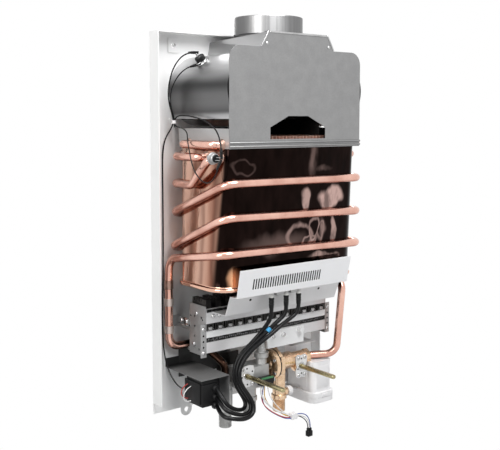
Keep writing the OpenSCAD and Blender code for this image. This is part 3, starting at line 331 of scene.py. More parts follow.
FINISH_ROWS = {
    "white_enamel": ((0.86, 0.86, 0.855), (0.82, 0.82, 0.815), 0.0, (0.32, 0.42),
        dict(patch=12)),
    "galvanised": ((0.40, 0.405, 0.41), (0.30, 0.305, 0.31), 0.95, (0.28, 0.40),
        dict(patch=30, speck=600)),
    "front_sheet": ((0.335, 0.335, 0.335), (0.255, 0.255, 0.257), 0.88, (0.40, 0.55),
        dict(patch=60, bump=0.05, grain=0.6, hollow=HOOD_HOLLOW)),
    "skirt_sheet": ((0.52, 0.52, 0.52), (0.42, 0.42, 0.42), 0.8, (0.35, 0.45),
        dict(patch=20, speck=700, hollow=SKIRT_HOLLOW)),
    "copper_tube": ((0.90, 0.56, 0.46), (0.62, 0.33, 0.26), 1.0, (0.16, 0.28),
        dict(patch=24, speck=800)),
    "solder": ((0.52, 0.36, 0.30), (0.28, 0.17, 0.13), 1.0, (0.30, 0.45),
        dict(patch=120, bump=0.2)),
    "sleeve": ((0.70, 0.60, 0.55), (0.55, 0.45, 0.41), 0.7, (0.35, 0.5),
        dict(patch=60, bump=0.05)),
    "fin_copper": ((0.95, 0.66, 0.55), (0.76, 0.46, 0.36), 0.6, (0.30, 0.45),
        dict(patch=70)),
    # Black for painted shade: the hood's baffle, the sheet inside it and the bottoms of holes
    "painted_shade_black": ((0.010, 0.009, 0.008), (0.005, 0.005, 0.005), 0.0, (0.80, 0.95),
        dict(patch=60, bump=0.05, specular=0.05)),
    "dark_sheet": ((0.040, 0.040, 0.040), (0.022, 0.022, 0.022), 0.3, (0.50, 0.65),
        dict(patch=40, bump=0.04)),
    "bright_plate": ((0.80, 0.80, 0.80), (0.64, 0.64, 0.645), 0.6, (0.28, 0.42),
        dict(patch=110, bump=0.04)),
    "vent_steel": ((0.88, 0.88, 0.89), (0.80, 0.80, 0.81), 0.15, (0.42, 0.55),
        dict(patch=22, grain=0.5)),
    "pale_steel": ((0.75, 0.745, 0.75), (0.64, 0.635, 0.64), 0.45, (0.40, 0.52),
        dict(patch=22, grain=0.5)),
    "burner_steel": ((0.44, 0.44, 0.44), (0.30, 0.30, 0.30), 0.85, (0.32, 0.46),
        dict(patch=50, bump=0.05, grain=0.4)),
    "dark_steel": ((0.10, 0.098, 0.095), (0.03, 0.029, 0.028), 0.9, (0.35, 0.5),
        dict(patch=60, speck=500, bump=0.06)),
    "cover_grey": ((0.20, 0.20, 0.20), (0.155, 0.155, 0.155), 0.5, (0.45, 0.58),
        dict(patch=35, bump=0.04, grain=0.6)),
    "cast_alloy": ((0.52, 0.52, 0.515), (0.36, 0.36, 0.355), 0.75, (0.42, 0.58),
        dict(patch=90, speck=1100, bump=0.2, grain=0.4)),
    "bright_steel": ((0.62, 0.62, 0.62), (0.45, 0.45, 0.45), 1.0, (0.15, 0.28),
        dict(patch=80)),
    "white_rail": ((0.94, 0.94, 0.94), (0.88, 0.88, 0.88), 0.0, (0.4, 0.55),
        dict(patch=40, bump=0.08)),
    "brass": ((0.90, 0.68, 0.47), (0.58, 0.39, 0.25), 1.0, (0.20, 0.34),
        dict(patch=90, speck=1100, bump=0.10)),
    "zinc_shaft": ((0.50, 0.44, 0.26), (0.26, 0.22, 0.12), 1.0, (0.2, 0.34),
        dict(patch=120, speck=1200, stretch=(1, 0.15, 1), bump=0.06)),
    "black_plastic": ((0.010, 0.010, 0.0105), (0.005, 0.005, 0.0055), 0.0, (0.36, 0.50),
        dict(patch=50, speck=1500, bump=0.06, specular=0.18)),
    "black_rubber": ((0.006, 0.006, 0.0065), (0.003, 0.003, 0.0035), 0.0, (0.24, 0.36),
        dict(patch=60, speck=1800, bump=0.05, specular=0.2)),
    "ceramic": ((0.80, 0.79, 0.76), (0.74, 0.73, 0.70), 0.0, (0.12, 0.2),
        dict(patch=80, speck=1500, bump=0.02, coat=0.5)),
    "white_plastic": ((0.80, 0.79, 0.795), (0.75, 0.745, 0.75), 0.0, (0.30, 0.4),
        dict(patch=25, speck=1200)),
    "green_plastic": ((0.05, 0.24, 0.09), (0.03, 0.15, 0.05), 0.0, (0.3, 0.4),
        dict(patch=80, speck=1500)),
    "blue_tape": ((0.06, 0.36, 0.66), (0.04, 0.28, 0.55), 0.0, (0.3, 0.42),
        dict(patch=90, speck=1500, bump=0.05)),
    "cell_jacket": ((0.10, 0.11, 0.105), (0.06, 0.065, 0.06), 0.3, (0.3, 0.4),
        dict(patch=40)),
}

WIRE_COLOURS = {
    "red_wire": ((0.46, 0.045, 0.03), (0.32, 0.025, 0.02)),
    "yellow_wire": ((0.72, 0.44, 0.06), (0.58, 0.32, 0.04)),
    "blue_wire": ((0.05, 0.09, 0.36), (0.03, 0.05, 0.24)),
    "white_wire": ((0.76, 0.75, 0.74), (0.66, 0.65, 0.64)),
}

FINISH = {name: make_finish(name, *row[:-1], **row[-1]) for name, row in FINISH_ROWS.items()}
for wire, (light, dark) in WIRE_COLOURS.items():
    FINISH[wire] = make_finish(wire, light, dark, 0.0, (0.32, 0.45), 80, 1500)

# Painted reflections on the shell's sides: depth across the side and colour
SHELL_REFLECTION_BANDS = (
    (0.00, (0.50, 0.29, 0.21)), (0.14, (0.84, 0.58, 0.46)), (0.30, (0.86, 0.61, 0.49)),
    (0.38, (0.22, 0.08, 0.05)), (0.46, (0.78, 0.50, 0.38)), (0.55, (0.16, 0.06, 0.04)),
    (0.62, (0.70, 0.43, 0.32)), (0.71, (0.34, 0.15, 0.10)), (0.79, (0.10, 0.04, 0.026)),
    (0.86, (0.46, 0.26, 0.19)), (0.92, (0.03, 0.015, 0.011)), (1.00, (0.02, 0.011, 0.009)),
)
# Painted reflections on the shell's front: centre, half size, strength and edge
REFLECTION_PATCHES = (
    ((25, -147, 37), (12, 400, 21), 0.75, 0.35),
    ((77, -147, 36), (29, 400, 21), 0.9, 0.35),
    ((83, -147, -16), (7, 400, 24), 0.7, 0.5),
    ((61, -147, -14), (8, 400, 24), 0.4, 0.8),
    ((66, -147, -58), (40, 400, 9), 0.6, 0.6),
    ((36, -147, 100), (12, 400, 42), 0.22, 0.8),
    ((58, -147, 84), (20, 400, 8), 0.20, 0.8),
)
# Painted reflection ribbons on the shell's front: centre, half size and strength
REFLECTION_RIBBONS = (
    ((14, -147, -24), (38, 400, 24), 0.45),
    ((42, -147, -14), (15, 400, 28), 0.60),
    ((34, -147, -32), (24, 400, 13), 0.45),
    ((58, -147, -20), (10, 400, 24), 0.50),
    ((-100, -147, 90), (24, 400, 15), 0.09),
)
# Colours of the painted reflections, the painted orange glow and the copper foot
REFLECTION_COLOUR = (0.62, 0.42, 0.375)
PAINTED_GLOW_COLOUR = (0.88, 0.46, 0.26)
FOOT_COLOUR = (0.78, 0.48, 0.36)


def add_painted_reflections(tree, spot, wavy, cloud):
    """One on the painted reflections of the shell's front (patches, ribbons and haze), and nought between
    them.
    """
    pale = 0.0
    for where, half, share, edge in REFLECTION_PATCHES:
        patch = add_range(tree, add_spot(tree, wavy, where, half), 0.02, edge, 0.0, share)
        pale = add_maths(tree, "MAXIMUM", pale, patch)
    curved = add_ripple(tree, spot, 24.0, (1.0, 1.0, 0.7), 9.0)
    for where, half, share in REFLECTION_RIBBONS:
        rim = add_maths(tree, "SUBTRACT", add_spot(tree, curved, where, half), 0.35)
        ribbon = add_range(tree, add_maths(tree, "ABSOLUTE", rim), 0.17, 0.02, 0.0, share)
        pale = add_maths(tree, "MAXIMUM", pale, ribbon)
    pale = add_maths(tree, "MULTIPLY", pale, add_range(tree, cloud, 0.05, 0.75, 0.35, 1.0))
    haze = add_range(tree, add_spot(tree, wavy, (-30, -147, -30), (90, 400, 22)), 0.0, 0.8, 0.0, 0.16)
    return add_maths(tree, "MAXIMUM", pale, haze)


def make_shell_finish():
    """Painted reflections on copper: bright wavy bands at the sides, and over the front a painted dark
    reflection with pale patches, ribbons and an orange glow.
    """
    material, tree, shader = new_finish("copper_shell_reflections", 1.0)
    place = add_places(tree)
    spot = place["Object"]
    front = add_range(tree, add_axes(tree, place["Normal"])["Y"], -0.12, -0.45)
    streaked = add_axes(tree, add_ripple(tree, spot, 26.0, (1.0, 1.0, 0.30), 9.0))["Y"]
    bright = add_ramp(tree, add_range(tree, streaked, -0.010, -0.150, way="LINEAR"), SHELL_REFLECTION_BANDS)
    wavy = add_ripple(tree, spot, 40.0, (1.0, 1.0, 0.55), 6.0)
    cloud = add_mottle(tree, 55.0, 160.0, (1.0, 1.0, 0.4))["Patches"]
    # The front's dark colour is a painted dark reflection
    dark = add_blend(tree, cloud, (0.006, 0.0035, 0.003), (0.013, 0.007, 0.006))
    dark = add_blend(tree, add_painted_reflections(tree, spot, wavy, cloud), dark, REFLECTION_COLOUR)
    # A painted orange glow on the front by the vent plate's left end
    glow = add_range(tree, add_spot(tree, wavy, (-113, -147, -76), (17, 400, 22)), 0.02, 0.7)
    skin = add_blend(tree, front, bright, add_blend(tree, glow, dark, PAINTED_GLOW_COLOUR))
    foot = add_range(tree, add_axes(tree, spot)["Z"], -0.0875, -0.0890)
    grain = add_mottle(tree, 14.0, 55.0, (1.4, 1.6, 0.5))
    feed(tree, shader, {"Base Color": add_blend(tree, foot, skin, FOOT_COLOUR),
                        "Roughness": add_range(tree, grain["Specks"], 0.2, 0.8, 0.07, 0.15),
                        "Normal": add_relief(tree, grain["Patches"], 0.14, 0.004)})
    return material


def shade_finish(material, mask, shade):
    """Turns a finish to one shade where a mask is one."""
    tree = material.node_tree
    shader = tree.nodes["Principled BSDF"]
    colour = shader.inputs["Base Color"].links[0].from_socket
    feed(tree, shader, {"Base Color": add_blend(tree, mask, colour, shade)})


def paint_under_shade(name, start, end, shade):
    """Darkens a finish to one colour on the faces that look down, as painted shade."""
    tree = FINISH[name].node_tree
    facing = add_axes(tree, add_places(tree)["Normal"])["Z"]
    shade_finish(FINISH[name], add_range(tree, facing, start, end), shade)


def paint_slot_shade(name, centre, reach, shade):
    """Darkens a finish on the side walls of a row of slots, centred at an X and reaching to both sides, as
    painted shade in the slots.
    """
    tree = FINISH[name].node_tree
    place = add_places(tree)
    across = add_axes(tree, place["Object"])["X"]
    off = add_maths(tree, "ABSOLUTE", add_maths(tree, "SUBTRACT", across, centre * MM))
    side = add_maths(tree, "ABSOLUTE", add_axes(tree, place["Normal"])["X"])
    near = add_maths(tree, "LESS_THAN", off, reach * MM)
    shade_finish(FINISH[name], add_maths(tree, "MULTIPLY", add_range(tree, side, 0.35, 0.6), near), shade)


def make_shaded_finish(name, source, axis, start, end, shade):
    """A copy of a finish with painted shade: it darkens to one colour along an axis, from start to end in
    millimetres.
    """
    material = FINISH[source].copy()
    material.name = name
    tree = material.node_tree
    along = add_axes(tree, add_places(tree)["Object"])[axis]
    shade_finish(material, add_range(tree, along, start * MM, end * MM), shade)
    return material


# Painted reflections round the hood's rolls: height across the rolls and grey
HOOD_REFLECTION_BANDS = (
    (0.00, 0.45), (0.06, 0.55), (0.12, 0.50), (0.15, 0.08), (0.18, 0.12), (0.26, 0.20), (0.35, 0.16),
    (0.41, 0.06), (0.46, 0.04), (0.52, 0.26), (0.60, 0.55), (0.70, 0.62), (0.82, 0.46), (1.00, 0.36),
)
# Painted reflections across the spigot, with a painted highlight: width and grey
SPIGOT_REFLECTION_BANDS = (
    (0.00, 0.15), (0.18, 0.19), (0.36, 0.33), (0.48, 0.42), (0.57, 0.58), (0.64, 0.50), (0.74, 0.26),
    (0.90, 0.22), (1.00, 0.18),
)
SPIGOT_PLACE = (0, -0.080, 0)
SPIGOT_TURN = (0, 0, math.radians(-38))


def make_spigot_finish():
    """Drawn sheet with painted reflections in soft upright bands of light and dark, a painted highlight among
    them, and fine upright lines.
    """
    material, tree, shader = new_finish("brushed_spigot_reflections", 1.0)
    inputs = {"Vector": add_places(tree)["Object"], "Location": SPIGOT_PLACE, "Rotation": SPIGOT_TURN}
    across = add_node(tree, "Mapping", inputs, vector_type="TEXTURE")
    width = add_axes(tree, across.outputs["Vector"])["X"]
    bands = add_bands(tree, add_range(tree, width, -0.055, 0.055, way="LINEAR"), SPIGOT_REFLECTION_BANDS)
    grain = add_mottle(tree, 260.0, 900.0, (1.0, 1.0, 0.02))
    lines = add_range(tree, grain["Patches"], 0.0, 1.0, 0.0, 0.45)
    feed(tree, shader, {"Base Color": add_blend(tree, lines, bands, (0.16, 0.16, 0.161)),
                        "Roughness": add_range(tree, grain["Specks"], 0.2, 0.8, 0.34, 0.44),
                        "Normal": add_relief(tree, grain["Patches"], 0.06, RELIEF_DEPTH)})
    return material


def make_hood_finish():
    """Rolled sheet with painted reflections in soft light and dark bands round its rolls, and painted shade
    inside.
    """
    material, tree, shader = new_finish("hood_sheet_reflections", 1.0)
    waved = add_axes(tree, add_ripple(tree, add_places(tree)["Object"], 9.0, (1.0, 0.6, 1.0), 3.0))["Z"]
    bands = add_bands(tree, add_range(tree, waved, 0.150, 0.290, way="LINEAR"), HOOD_REFLECTION_BANDS)
    grain = add_mottle(tree, 26.0, 800.0, (1.0, 0.08, 1.0))
    drawn = add_range(tree, grain["Patches"], 0.0, 1.0, 0.0, 0.22)
    bands = add_blend(tree, drawn, bands, (0.10, 0.10, 0.101))
    gloss = add_range(tree, grain["Specks"], 0.2, 0.8, 0.30, 0.38)
    bands, gloss = add_inside_shade(tree, shader, HOOD_HOLLOW, bands, gloss)
    feed(tree, shader, {"Base Color": bands, "Roughness": gloss,
                        "Normal": add_relief(tree, grain["Specks"], 0.02, RELIEF_DEPTH)})
    return material


def make_stipple_finish():
    """Black sheet pierced with rows of small round holes that show paler metal."""
    material, tree, shader = new_finish("pierced_strip", 0.4)
    inputs = {"Vector": add_places(tree)["Object"], "Scale": 250.0, "Randomness": 0.45}
    mask = add_range(tree, add_node(tree, "TexVoronoi", inputs).outputs["Distance"], 0.42, 0.30)
    feed(tree, shader, {"Base Color": add_blend(tree, mask, (0.005, 0.005, 0.005), (0.17, 0.17, 0.17)),
                        "Roughness": add_range(tree, mask, 0.0, 1.0, 0.6, 0.4),
                        "Normal": add_relief(tree, mask, 0.5, 0.0006), "Specular IOR Level": 0.3})
    return material


FINISH["copper_shell_reflections"] = make_shell_finish()
FINISH["hood_sheet_reflections"] = make_hood_finish()
FINISH["brushed_spigot_reflections"] = make_spigot_finish()
FINISH["pierced_strip"] = make_stipple_finish()
# Painted shade on the undersides of the copper tubes
paint_under_shade("copper_tube", -0.25, -0.90, (0.40, 0.17, 0.12))
# Painted shade on the walls of the vent plate's slots
paint_slot_shade("vent_steel", -18, 74, (0.02, 0.02, 0.02))
# Painted shade on the hot pipe where it runs behind the valves
PIPE_SHADE_COLOUR = (0.050, 0.026, 0.018)
FINISH["shaded_copper"] = make_shaded_finish("shaded_copper", "copper_tube", "X", -128, -112, PIPE_SHADE_COLOUR)
# Painted shade on the igniter cover towards the panel
FINISH["cover_shaded_sheet"] = make_shaded_finish("cover_shaded_sheet", "cover_grey", "Y", -30, -4, (0.016, 0.016, 0.016))

NODE_FINISH = {
    "hood_body": "hood_sheet_reflections",
    "hood_front_plate": "front_sheet",
    "hood_skirt": "skirt_sheet",
    # The baffle is painted black as shade inside the hood
    "hood_baffle": "painted_shade_black",
    "igniter_cover": "cover_shaded_sheet",
    "gas_manifold": "white_rail",
    "exchanger_fins": "fin_copper",
    "injectors": "dark_steel",
    "valve_bracket": "dark_sheet",
    "vent_plate": "vent_steel",
    "burner_top_rail": "pale_steel",
    "burner_lower_panel": "pale_steel",
    "valve_screws": "bright_steel",
    "push_rod": "bright_steel",
    "pipe_sleeves": "sleeve",
    "cable_tie": "white_plastic",
}

SOFT_NODES = {
    "hood_front_plate": 0.3,
    "vent_plate": 0.12,
    "burner_bracket": 0.25,
    "igniter_cover": 0.25,
    "gas_valve_body": 1.2,
    "battery_box": 0.6,
    "battery_lid": 0.6,
    "battery_bracket": 0.25,
    "microswitch": 0.5,
    "loom_connector": 0.8,
    "wall_brackets": 0.4,
}


def dress_nodes():
    """Gives every node its finish, and some of them soft edges."""
    slot_of = {row["node"]: row["material_slot"] for row in frame["record"]["subparts"]}
    for name, node in frame["nodes"].items():
        finish = NODE_FINISH.get(name, slot_of.get(name))
        node.data.materials.clear()
        node.data.materials.append(FINISH.get(finish, FINISH["pale_steel"]))
        if name in SOFT_NODES:
            merge = node.modifiers.new("merged_corners", "WELD")
            merge.merge_threshold = WELD_GAP
            add_bevel(node, SOFT_NODES[name], 2)


# Ways of shaping a piece, all in millimetres

SMOOTH_ANGLE = 35
WELD_GAP = 0.00002


def clear_choice():
    bpy.ops.object.select_all(action="DESELECT")


def choose(piece):
    clear_choice()
    piece.select_set(True)
    bpy.context.view_layer.objects.active = piece


def settle(piece):
    """Puts a piece's place, turn and scale into its mesh."""
    choose(piece)
    bpy.ops.object.transform_apply(location=True, rotation=True, scale=True)


def seat(piece, place, turn=(0, 0, 0)):
    piece.location = Vector(place) * MM
    piece.rotation_euler = [math.radians(angle) for angle in turn]
    settle(piece)


def aim(piece, place, axis):
    piece.location = Vector(place) * MM
    piece.rotation_euler = Vector(axis).to_track_quat("Z", "Y").to_euler()
    settle(piece)


def add_bevel(piece, width, steps):
    edge = piece.modifiers.new("soft_edges", "BEVEL")
    edge.width = width * MM
    edge.segments = steps
    edge.limit_method = "ANGLE"
    edge.angle_limit = math.radians(SMOOTH_ANGLE)
    return edge


def soften(piece, width, steps=2):
    choose(piece)
    bpy.ops.object.modifier_apply(modifier=add_bevel(piece, width, steps).name)


def open_edit():
    bpy.ops.object.mode_set(mode="EDIT")
    bpy.ops.mesh.select_all(action="SELECT")


def close_edit():
    """Turns all the faces outwards and leaves edit mode."""
    bpy.ops.mesh.select_all(action="SELECT")
    bpy.ops.mesh.normals_make_consistent(inside=False)
    bpy.ops.object.mode_set(mode="OBJECT")


def bridge_ends():
    """Joins the two open edges of a tube to each other."""
    bpy.ops.mesh.select_mode(type="EDGE")
    bpy.ops.mesh.select_all(action="DESELECT")
    bpy.ops.mesh.select_non_manifold()
    bpy.ops.mesh.bridge_edge_loops()


def block(name, low, high, soft=0.5, steps=2):
    """A block between two corners with its edges eased."""
    clear_choice()
    bpy.ops.mesh.primitive_cube_add(size=MM, location=[(a + b) / 2 * MM for a, b in zip(low, high)])
    piece = bpy.context.object
    piece.name = name
    piece.scale = [b - a for a, b in zip(low, high)]
    settle(piece)
    soften(piece, soft, steps)
    return piece


def turned(name, place, axis, profile, sides=40, ring=False):
    """A round piece pulled along its axis through pairs of distance and radius; a ring closes on itself."""
    clear_choice()
    start, radius = profile[0]
    bpy.ops.mesh.primitive_circle_add(vertices=sides, radius=radius * MM, location=(0, 0, start * MM),
                                      fill_type="NOTHING" if ring else "NGON")
    piece = bpy.context.object
    piece.name = name
    settle(piece)
    open_edit()
    for (before, first), (after, second) in zip(profile, profile[1:]):
        bpy.ops.mesh.extrude_region_move(TRANSFORM_OT_translate={"value": (0, 0, (after - before) * MM)})
        grow = second / first
        bpy.ops.transform.resize(value=(grow, grow, 1), center_override=(0, 0, after * MM))
    if ring:
        bridge_ends()
    close_edit()
    aim(piece, place, axis)
    return piece


def copy_of(piece, name, shift):
    twin = piece.copy()
    twin.data = piece.data.copy()
    twin.name = name
    bpy.context.scene.collection.objects.link(twin)
    seat(twin, shift)
    return twin


def joined(name, pieces):
    clear_choice()
    for piece in pieces:
        piece.select_set(True)
    bpy.context.view_layer.objects.active = pieces[0]
    bpy.ops.object.join()
    pieces[0].name = name
    return pieces[0]


def paint(piece, finish):
    piece.data.materials.clear()
    piece.data.materials.append(FINISH[finish])
    return piece


def give(piece, nodes=(), body=HEATER, angle=SMOOTH_ANGLE):
    """Smooths a finished piece, sets what it rides on, and hides the nodes it stands in for."""
    choose(piece)
    bpy.ops.object.shade_smooth_by_angle(angle=math.radians(angle))
    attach(piece, body)
    if nodes:
        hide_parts(*nodes)
    return piece


def thread(start, end, crest, root, pitch=1.8):
    """Ridges of a pipe thread, as distance and radius pairs."""
    ridges = []
    turns = int((end - start) / pitch)
    for k in range(turns):
        z = start + k * pitch
        ridges += [(z, root), (z + 0.35 * pitch, crest), (z + 0.6 * pitch, crest), (z + 0.95 * pitch, root)]
    return ridges


# Copper tubes

TUBE_D = 12.7
TUBE_R = TUBE_D / 2
COIL_OFF = TUBE_R + 0.3
SHELL_TOP_Z = 117.5
SHELL_BOTTOM_Z = -90.0
SHELL_TOP_HALF = 129
SHELL_TOP_FACE = -150
SHELL_FLARE = 10
SHELL_BACK = -18
SHELL_TOP_R = 14
SHELL_R_GAIN = 16


def shell_fall(z):
    """How far down the shell a height is, from nought to one."""
    return (SHELL_TOP_Z - z) / (SHELL_TOP_Z - SHELL_BOTTOM_Z)


def shell_half(z):
    return SHELL_TOP_HALF + SHELL_FLARE * shell_fall(z)


def shell_face(z):
    return SHELL_TOP_FACE + SHELL_FLARE * shell_fall(z)


def rounded_route(points, radii, steps):
    """The route with an arc at each corner."""
    route = [Vector(points[0])]
    for before, here, after, radius in zip(points, points[1:], points[2:], radii):
        before, here, after = Vector(before), Vector(here), Vector(after)
        way = (here - before).normalized()
        onward = (after - here).normalized()
        angle = way.angle(onward)
        side = (onward - way * onward.dot(way)).normalized()
        hub = here - way * radius * math.tan(angle / 2) + side * radius
        for k in range(steps + 1):
            turn = angle * k / steps
            route.append(hub - side * radius * math.cos(turn) + way * radius * math.sin(turn))
    route.append(Vector(points[-1]))
    return route


def new_line(name, route, radius, smooth=True):
    """A round bar along a route, as a curve of one open spline in metres."""
    clear_choice()
    bpy.ops.curve.primitive_bezier_curve_add()
    line = bpy.context.object
    line.name = name
    data = line.data
    data.splines.clear()
    spline = data.splines.new("NURBS" if smooth else "POLY")
    spline.points.add(len(route) - 1)
    for knot, place in zip(spline.points, route):
        knot.co = (*(Vector(place) * MM), 1)
        knot.radius = radius * MM
    if smooth:
        spline.order_u = 4
        spline.use_endpoint_u = True
        spline.resolution_u = 6
    data.dimensions = "3D"
    data.bevel_depth = 1.0
    data.bevel_resolution = 5
    data.use_fill_caps = True
    return line


def make_tube(name, route, node, finish="copper_tube"):
    tube = new_line(name, route, TUBE_R, smooth=False)
    bpy.ops.object.convert(target="MESH")
    paint(tube, finish)
    give(tube, [node], angle=40)
    return tube


LOW_ROWS = (-28, -92, -128)
HIGH_ROWS = (-46, -131)
LOW_Z = 104
HIGH_Z = 123
TUBE_SIDE = 145
TUBE_START = 142
BEND = 12
BURNER_HALF = 126
DROP_X = BURNER_HALF + 0.46 * 42.5
DROP_Y = -11
DROP_Z = -58
JOINT_Z = -100
RISER_X = TUBE_SIDE + TUBE_D + 0.3
RISER_Y = -62


def coil_corner(side, z, front):
    y = shell_face(z) - COIL_OFF if front else SHELL_BACK + COIL_OFF
    return (side * (shell_half(z) + COIL_OFF), y, z)


def make_tubes():
    coil_start = (-shell_half(LOW_Z) - 6, LOW_ROWS[2], LOW_Z)
    finned = [(TUBE_START, HIGH_ROWS[1], HIGH_Z), (-TUBE_SIDE, HIGH_ROWS[1], HIGH_Z),
              (-TUBE_SIDE, HIGH_ROWS[0], HIGH_Z), (TUBE_SIDE, HIGH_ROWS[0], HIGH_Z),
              (TUBE_SIDE, LOW_ROWS[0], LOW_Z), (-TUBE_SIDE, LOW_ROWS[0], LOW_Z),
              (-TUBE_SIDE, LOW_ROWS[1], LOW_Z), (TUBE_SIDE, LOW_ROWS[1], LOW_Z),
              (TUBE_SIDE, LOW_ROWS[2], LOW_Z), coil_start]
    make_tube("finned_tube", rounded_route(finned, [BEND] * 8, 10), "exchanger_tubes")
    coil = [coil_start, (coil_start[0] - 14, LOW_ROWS[2], LOW_Z)]
    coil.append((-shell_half(61) - COIL_OFF - 4, -72, 61))
    for turn in ((61, 64, 66, 67), (13, 12, 11, 17), (-41, -42, -42, -37)):
        for side, z, front in zip((-1, 1, 1, -1), turn, (False, False, True, True)):
            coil.append(coil_corner(side, z, front))
    coil.append((-shell_half(DROP_Z) - COIL_OFF, DROP_Y, DROP_Z))
    coil += [(-DROP_X, DROP_Y, JOINT_Z + 10), (-DROP_X, DROP_Y, JOINT_Z)]
    bend = SHELL_TOP_R + COIL_OFF
    make_tube("coil", rounded_route(coil, [BEND] + [bend] * (len(coil) - 3), 10), "coil_tube")
    cold = [(86, -72, -243), (100, -72, -243), (137, -100, -240), (143, -107, -125), (RISER_X, RISER_Y, -72),
            (RISER_X, RISER_Y, HIGH_Z), (TUBE_START + 12, HIGH_ROWS[1], HIGH_Z),
            (TUBE_START, HIGH_ROWS[1], HIGH_Z)]
    make_tube("cold_riser", rounded_route(cold, [20, 20, 20, 30, 14, 11], 10), "cold_pipe")
    hot = [(-DROP_X, DROP_Y, JOINT_Z), (-DROP_X, DROP_Y, -201), (-86, DROP_Y, -201), (-64, -50, -236),
           (-64, -50, -274)]
    make_tube("hot_down_pipe", rounded_route(hot, [18, 18, 18], 10), "hot_pipe", "shaded_copper")


def make_joint_rings():
    """Fillets of solder where the finned tubes pass the shell and skirt."""
    rings = []
    fillet = [(0, 8.8), (0.8, 8.5), (2.0, 7.3), (3.4, 6.7), (4.2, 6.36)]
    for side in (-1, 1):
        for rows, z, half in ((LOW_ROWS, LOW_Z, shell_half(LOW_Z)), (HIGH_ROWS, HIGH_Z, 129.1)):
            for y in rows:
                rings.append(turned("ring", (side * half, y, z), (side, 0, 0), fillet, 32))
    collar = [(-7, 6.4), (-6.4, 7.2), (6.4, 7.2), (7, 6.4)]
    rings.append(turned("ring", (-DROP_X, DROP_Y, JOINT_Z), UP, collar, 32))
    give(paint(joined("solder_rings", rings), "solder"))


# Exchanger shell and flue spigot

CORNER_STEPS = 10


def shell_ring(z, grow):
    """Points round the shell at one height, moved outwards by grow."""
    half = shell_half(z) + grow
    front = shell_face(z) - grow
    back = SHELL_BACK + grow
    radius = SHELL_TOP_R + SHELL_R_GAIN * shell_fall(z) + grow
    points = []
    corners = ((half, back, 0), (-half, back, 90), (-half, front, 180), (half, front, 270))
    for x, y, begin in corners:
        hub_x = x - radius if x > 0 else x + radius
        hub_y = y - radius if y == back else y + radius
        for k in range(CORNER_STEPS + 1):
            turn = math.radians(begin + 90 * k / CORNER_STEPS)
            points.append((hub_x + radius * math.cos(turn), hub_y + radius * math.sin(turn), z))
    return points


def make_shell():
    """The copper shell: a ring pulled down its wall, round its rolled foot and up inside."""
    foot = [(-88.0, 0.0), (-89.2, 0.5), (-89.9, 1.6), (-90.2, 2.9), (-91.2, 3.8), (-93.0, 4.0), (-94.8, 3.7),
            (-95.8, 2.7), (-96.0, 1.4), (-95.6, 0.2), (-94.6, -0.8), (-90.0, -1.0)]
    rows = [(SHELL_TOP_Z, 0.0), (116.8, 0.2), (100, 0.0), (60, 0.0), (20, 0.0), (-20, 0.0), (-60, 0.0)] + foot
    rows += [(-20, -1.0), (60, -1.0), (SHELL_TOP_Z, -1.0)]
    count = 4 * (CORNER_STEPS + 1)
    clear_choice()
    bpy.ops.mesh.primitive_circle_add(vertices=count, radius=1)
    shell = bpy.context.object
    shell.name = "shell_skin"
    open_edit()
    for _ in rows[1:]:
        bpy.ops.mesh.extrude_region_move(TRANSFORM_OT_translate={"value": UP})
    bridge_ends()
    bpy.ops.object.mode_set(mode="OBJECT")
    rings = [shell_ring(z, grow) for z, grow in rows]
    for corner in shell.data.vertices:
        row = round(corner.co.z)
        step = round(math.atan2(corner.co.x, corner.co.y) / (2 * math.pi) * count) % count
        corner.co = Vector(rings[row][-step % count]) * MM
    open_edit()
    close_edit()
    give(paint(shell, "copper_shell_reflections"), ["exchanger_shell"], angle=50)


def make_spigot():
    wall = [(280, 53), (290.2, 53), (291.2, 53.8), (292, 55), (317.2, 55), (318.4, 54.9), (319, 54.5),
            (318.4, 54.1), (317.2, 54), (292.4, 54), (291.6, 52.6), (290.4, 52), (280, 52)]
    spigot = turned("flue_spigot", (0, -80, 0), UP, wall, 96, ring=True)
    give(paint(spigot, "brushed_spigot_reflections"), ["flue_collar"], angle=40)


# Hood details, thermostats and panel fittings

def make_tab_folds():
    """Turned-in edges of the front plate's tab."""
    folds = []
    for side in (-1, 1):
        fold = block("fold", (-1.1, -0.7, -13), (1.1, 0.7, 13), 0.5, 3)
        seat(fold, (side * 66.3, -154.2, 279), (0, -side * 30, 0))
        folds.append(fold)
        head = [(0, 2.3), (0.5, 2.3), (1.0, 1.7), (1.2, 0.7)]
        folds.append(turned("rivet", (side * 62.5, -154, 272.5), FORWARD, head, 20))
    folds.append(block("fold", (-57, -155.0, 288.2), (57, -153.6, 290.8), 0.6, 3))
    give(paint(joined("tab_folds", folds), "bright_steel"))


def make_shade_web():
    """A black sheet across the skirt, inside the hood, put there as painted shade."""
    web = block("shade_web", (44.4, -152, 136.5), (45.4, -19, 161), 0.3)
    give(paint(web, "painted_shade_black"))


WIRE_BOOT = [(0, 1.5), (0.5, 2.1), (8, 2.3), (9.5, 2.0), (10, 2.2), (11, 2.2), (11.5, 1.9), (15, 1.5),
             (16, 1.2)]


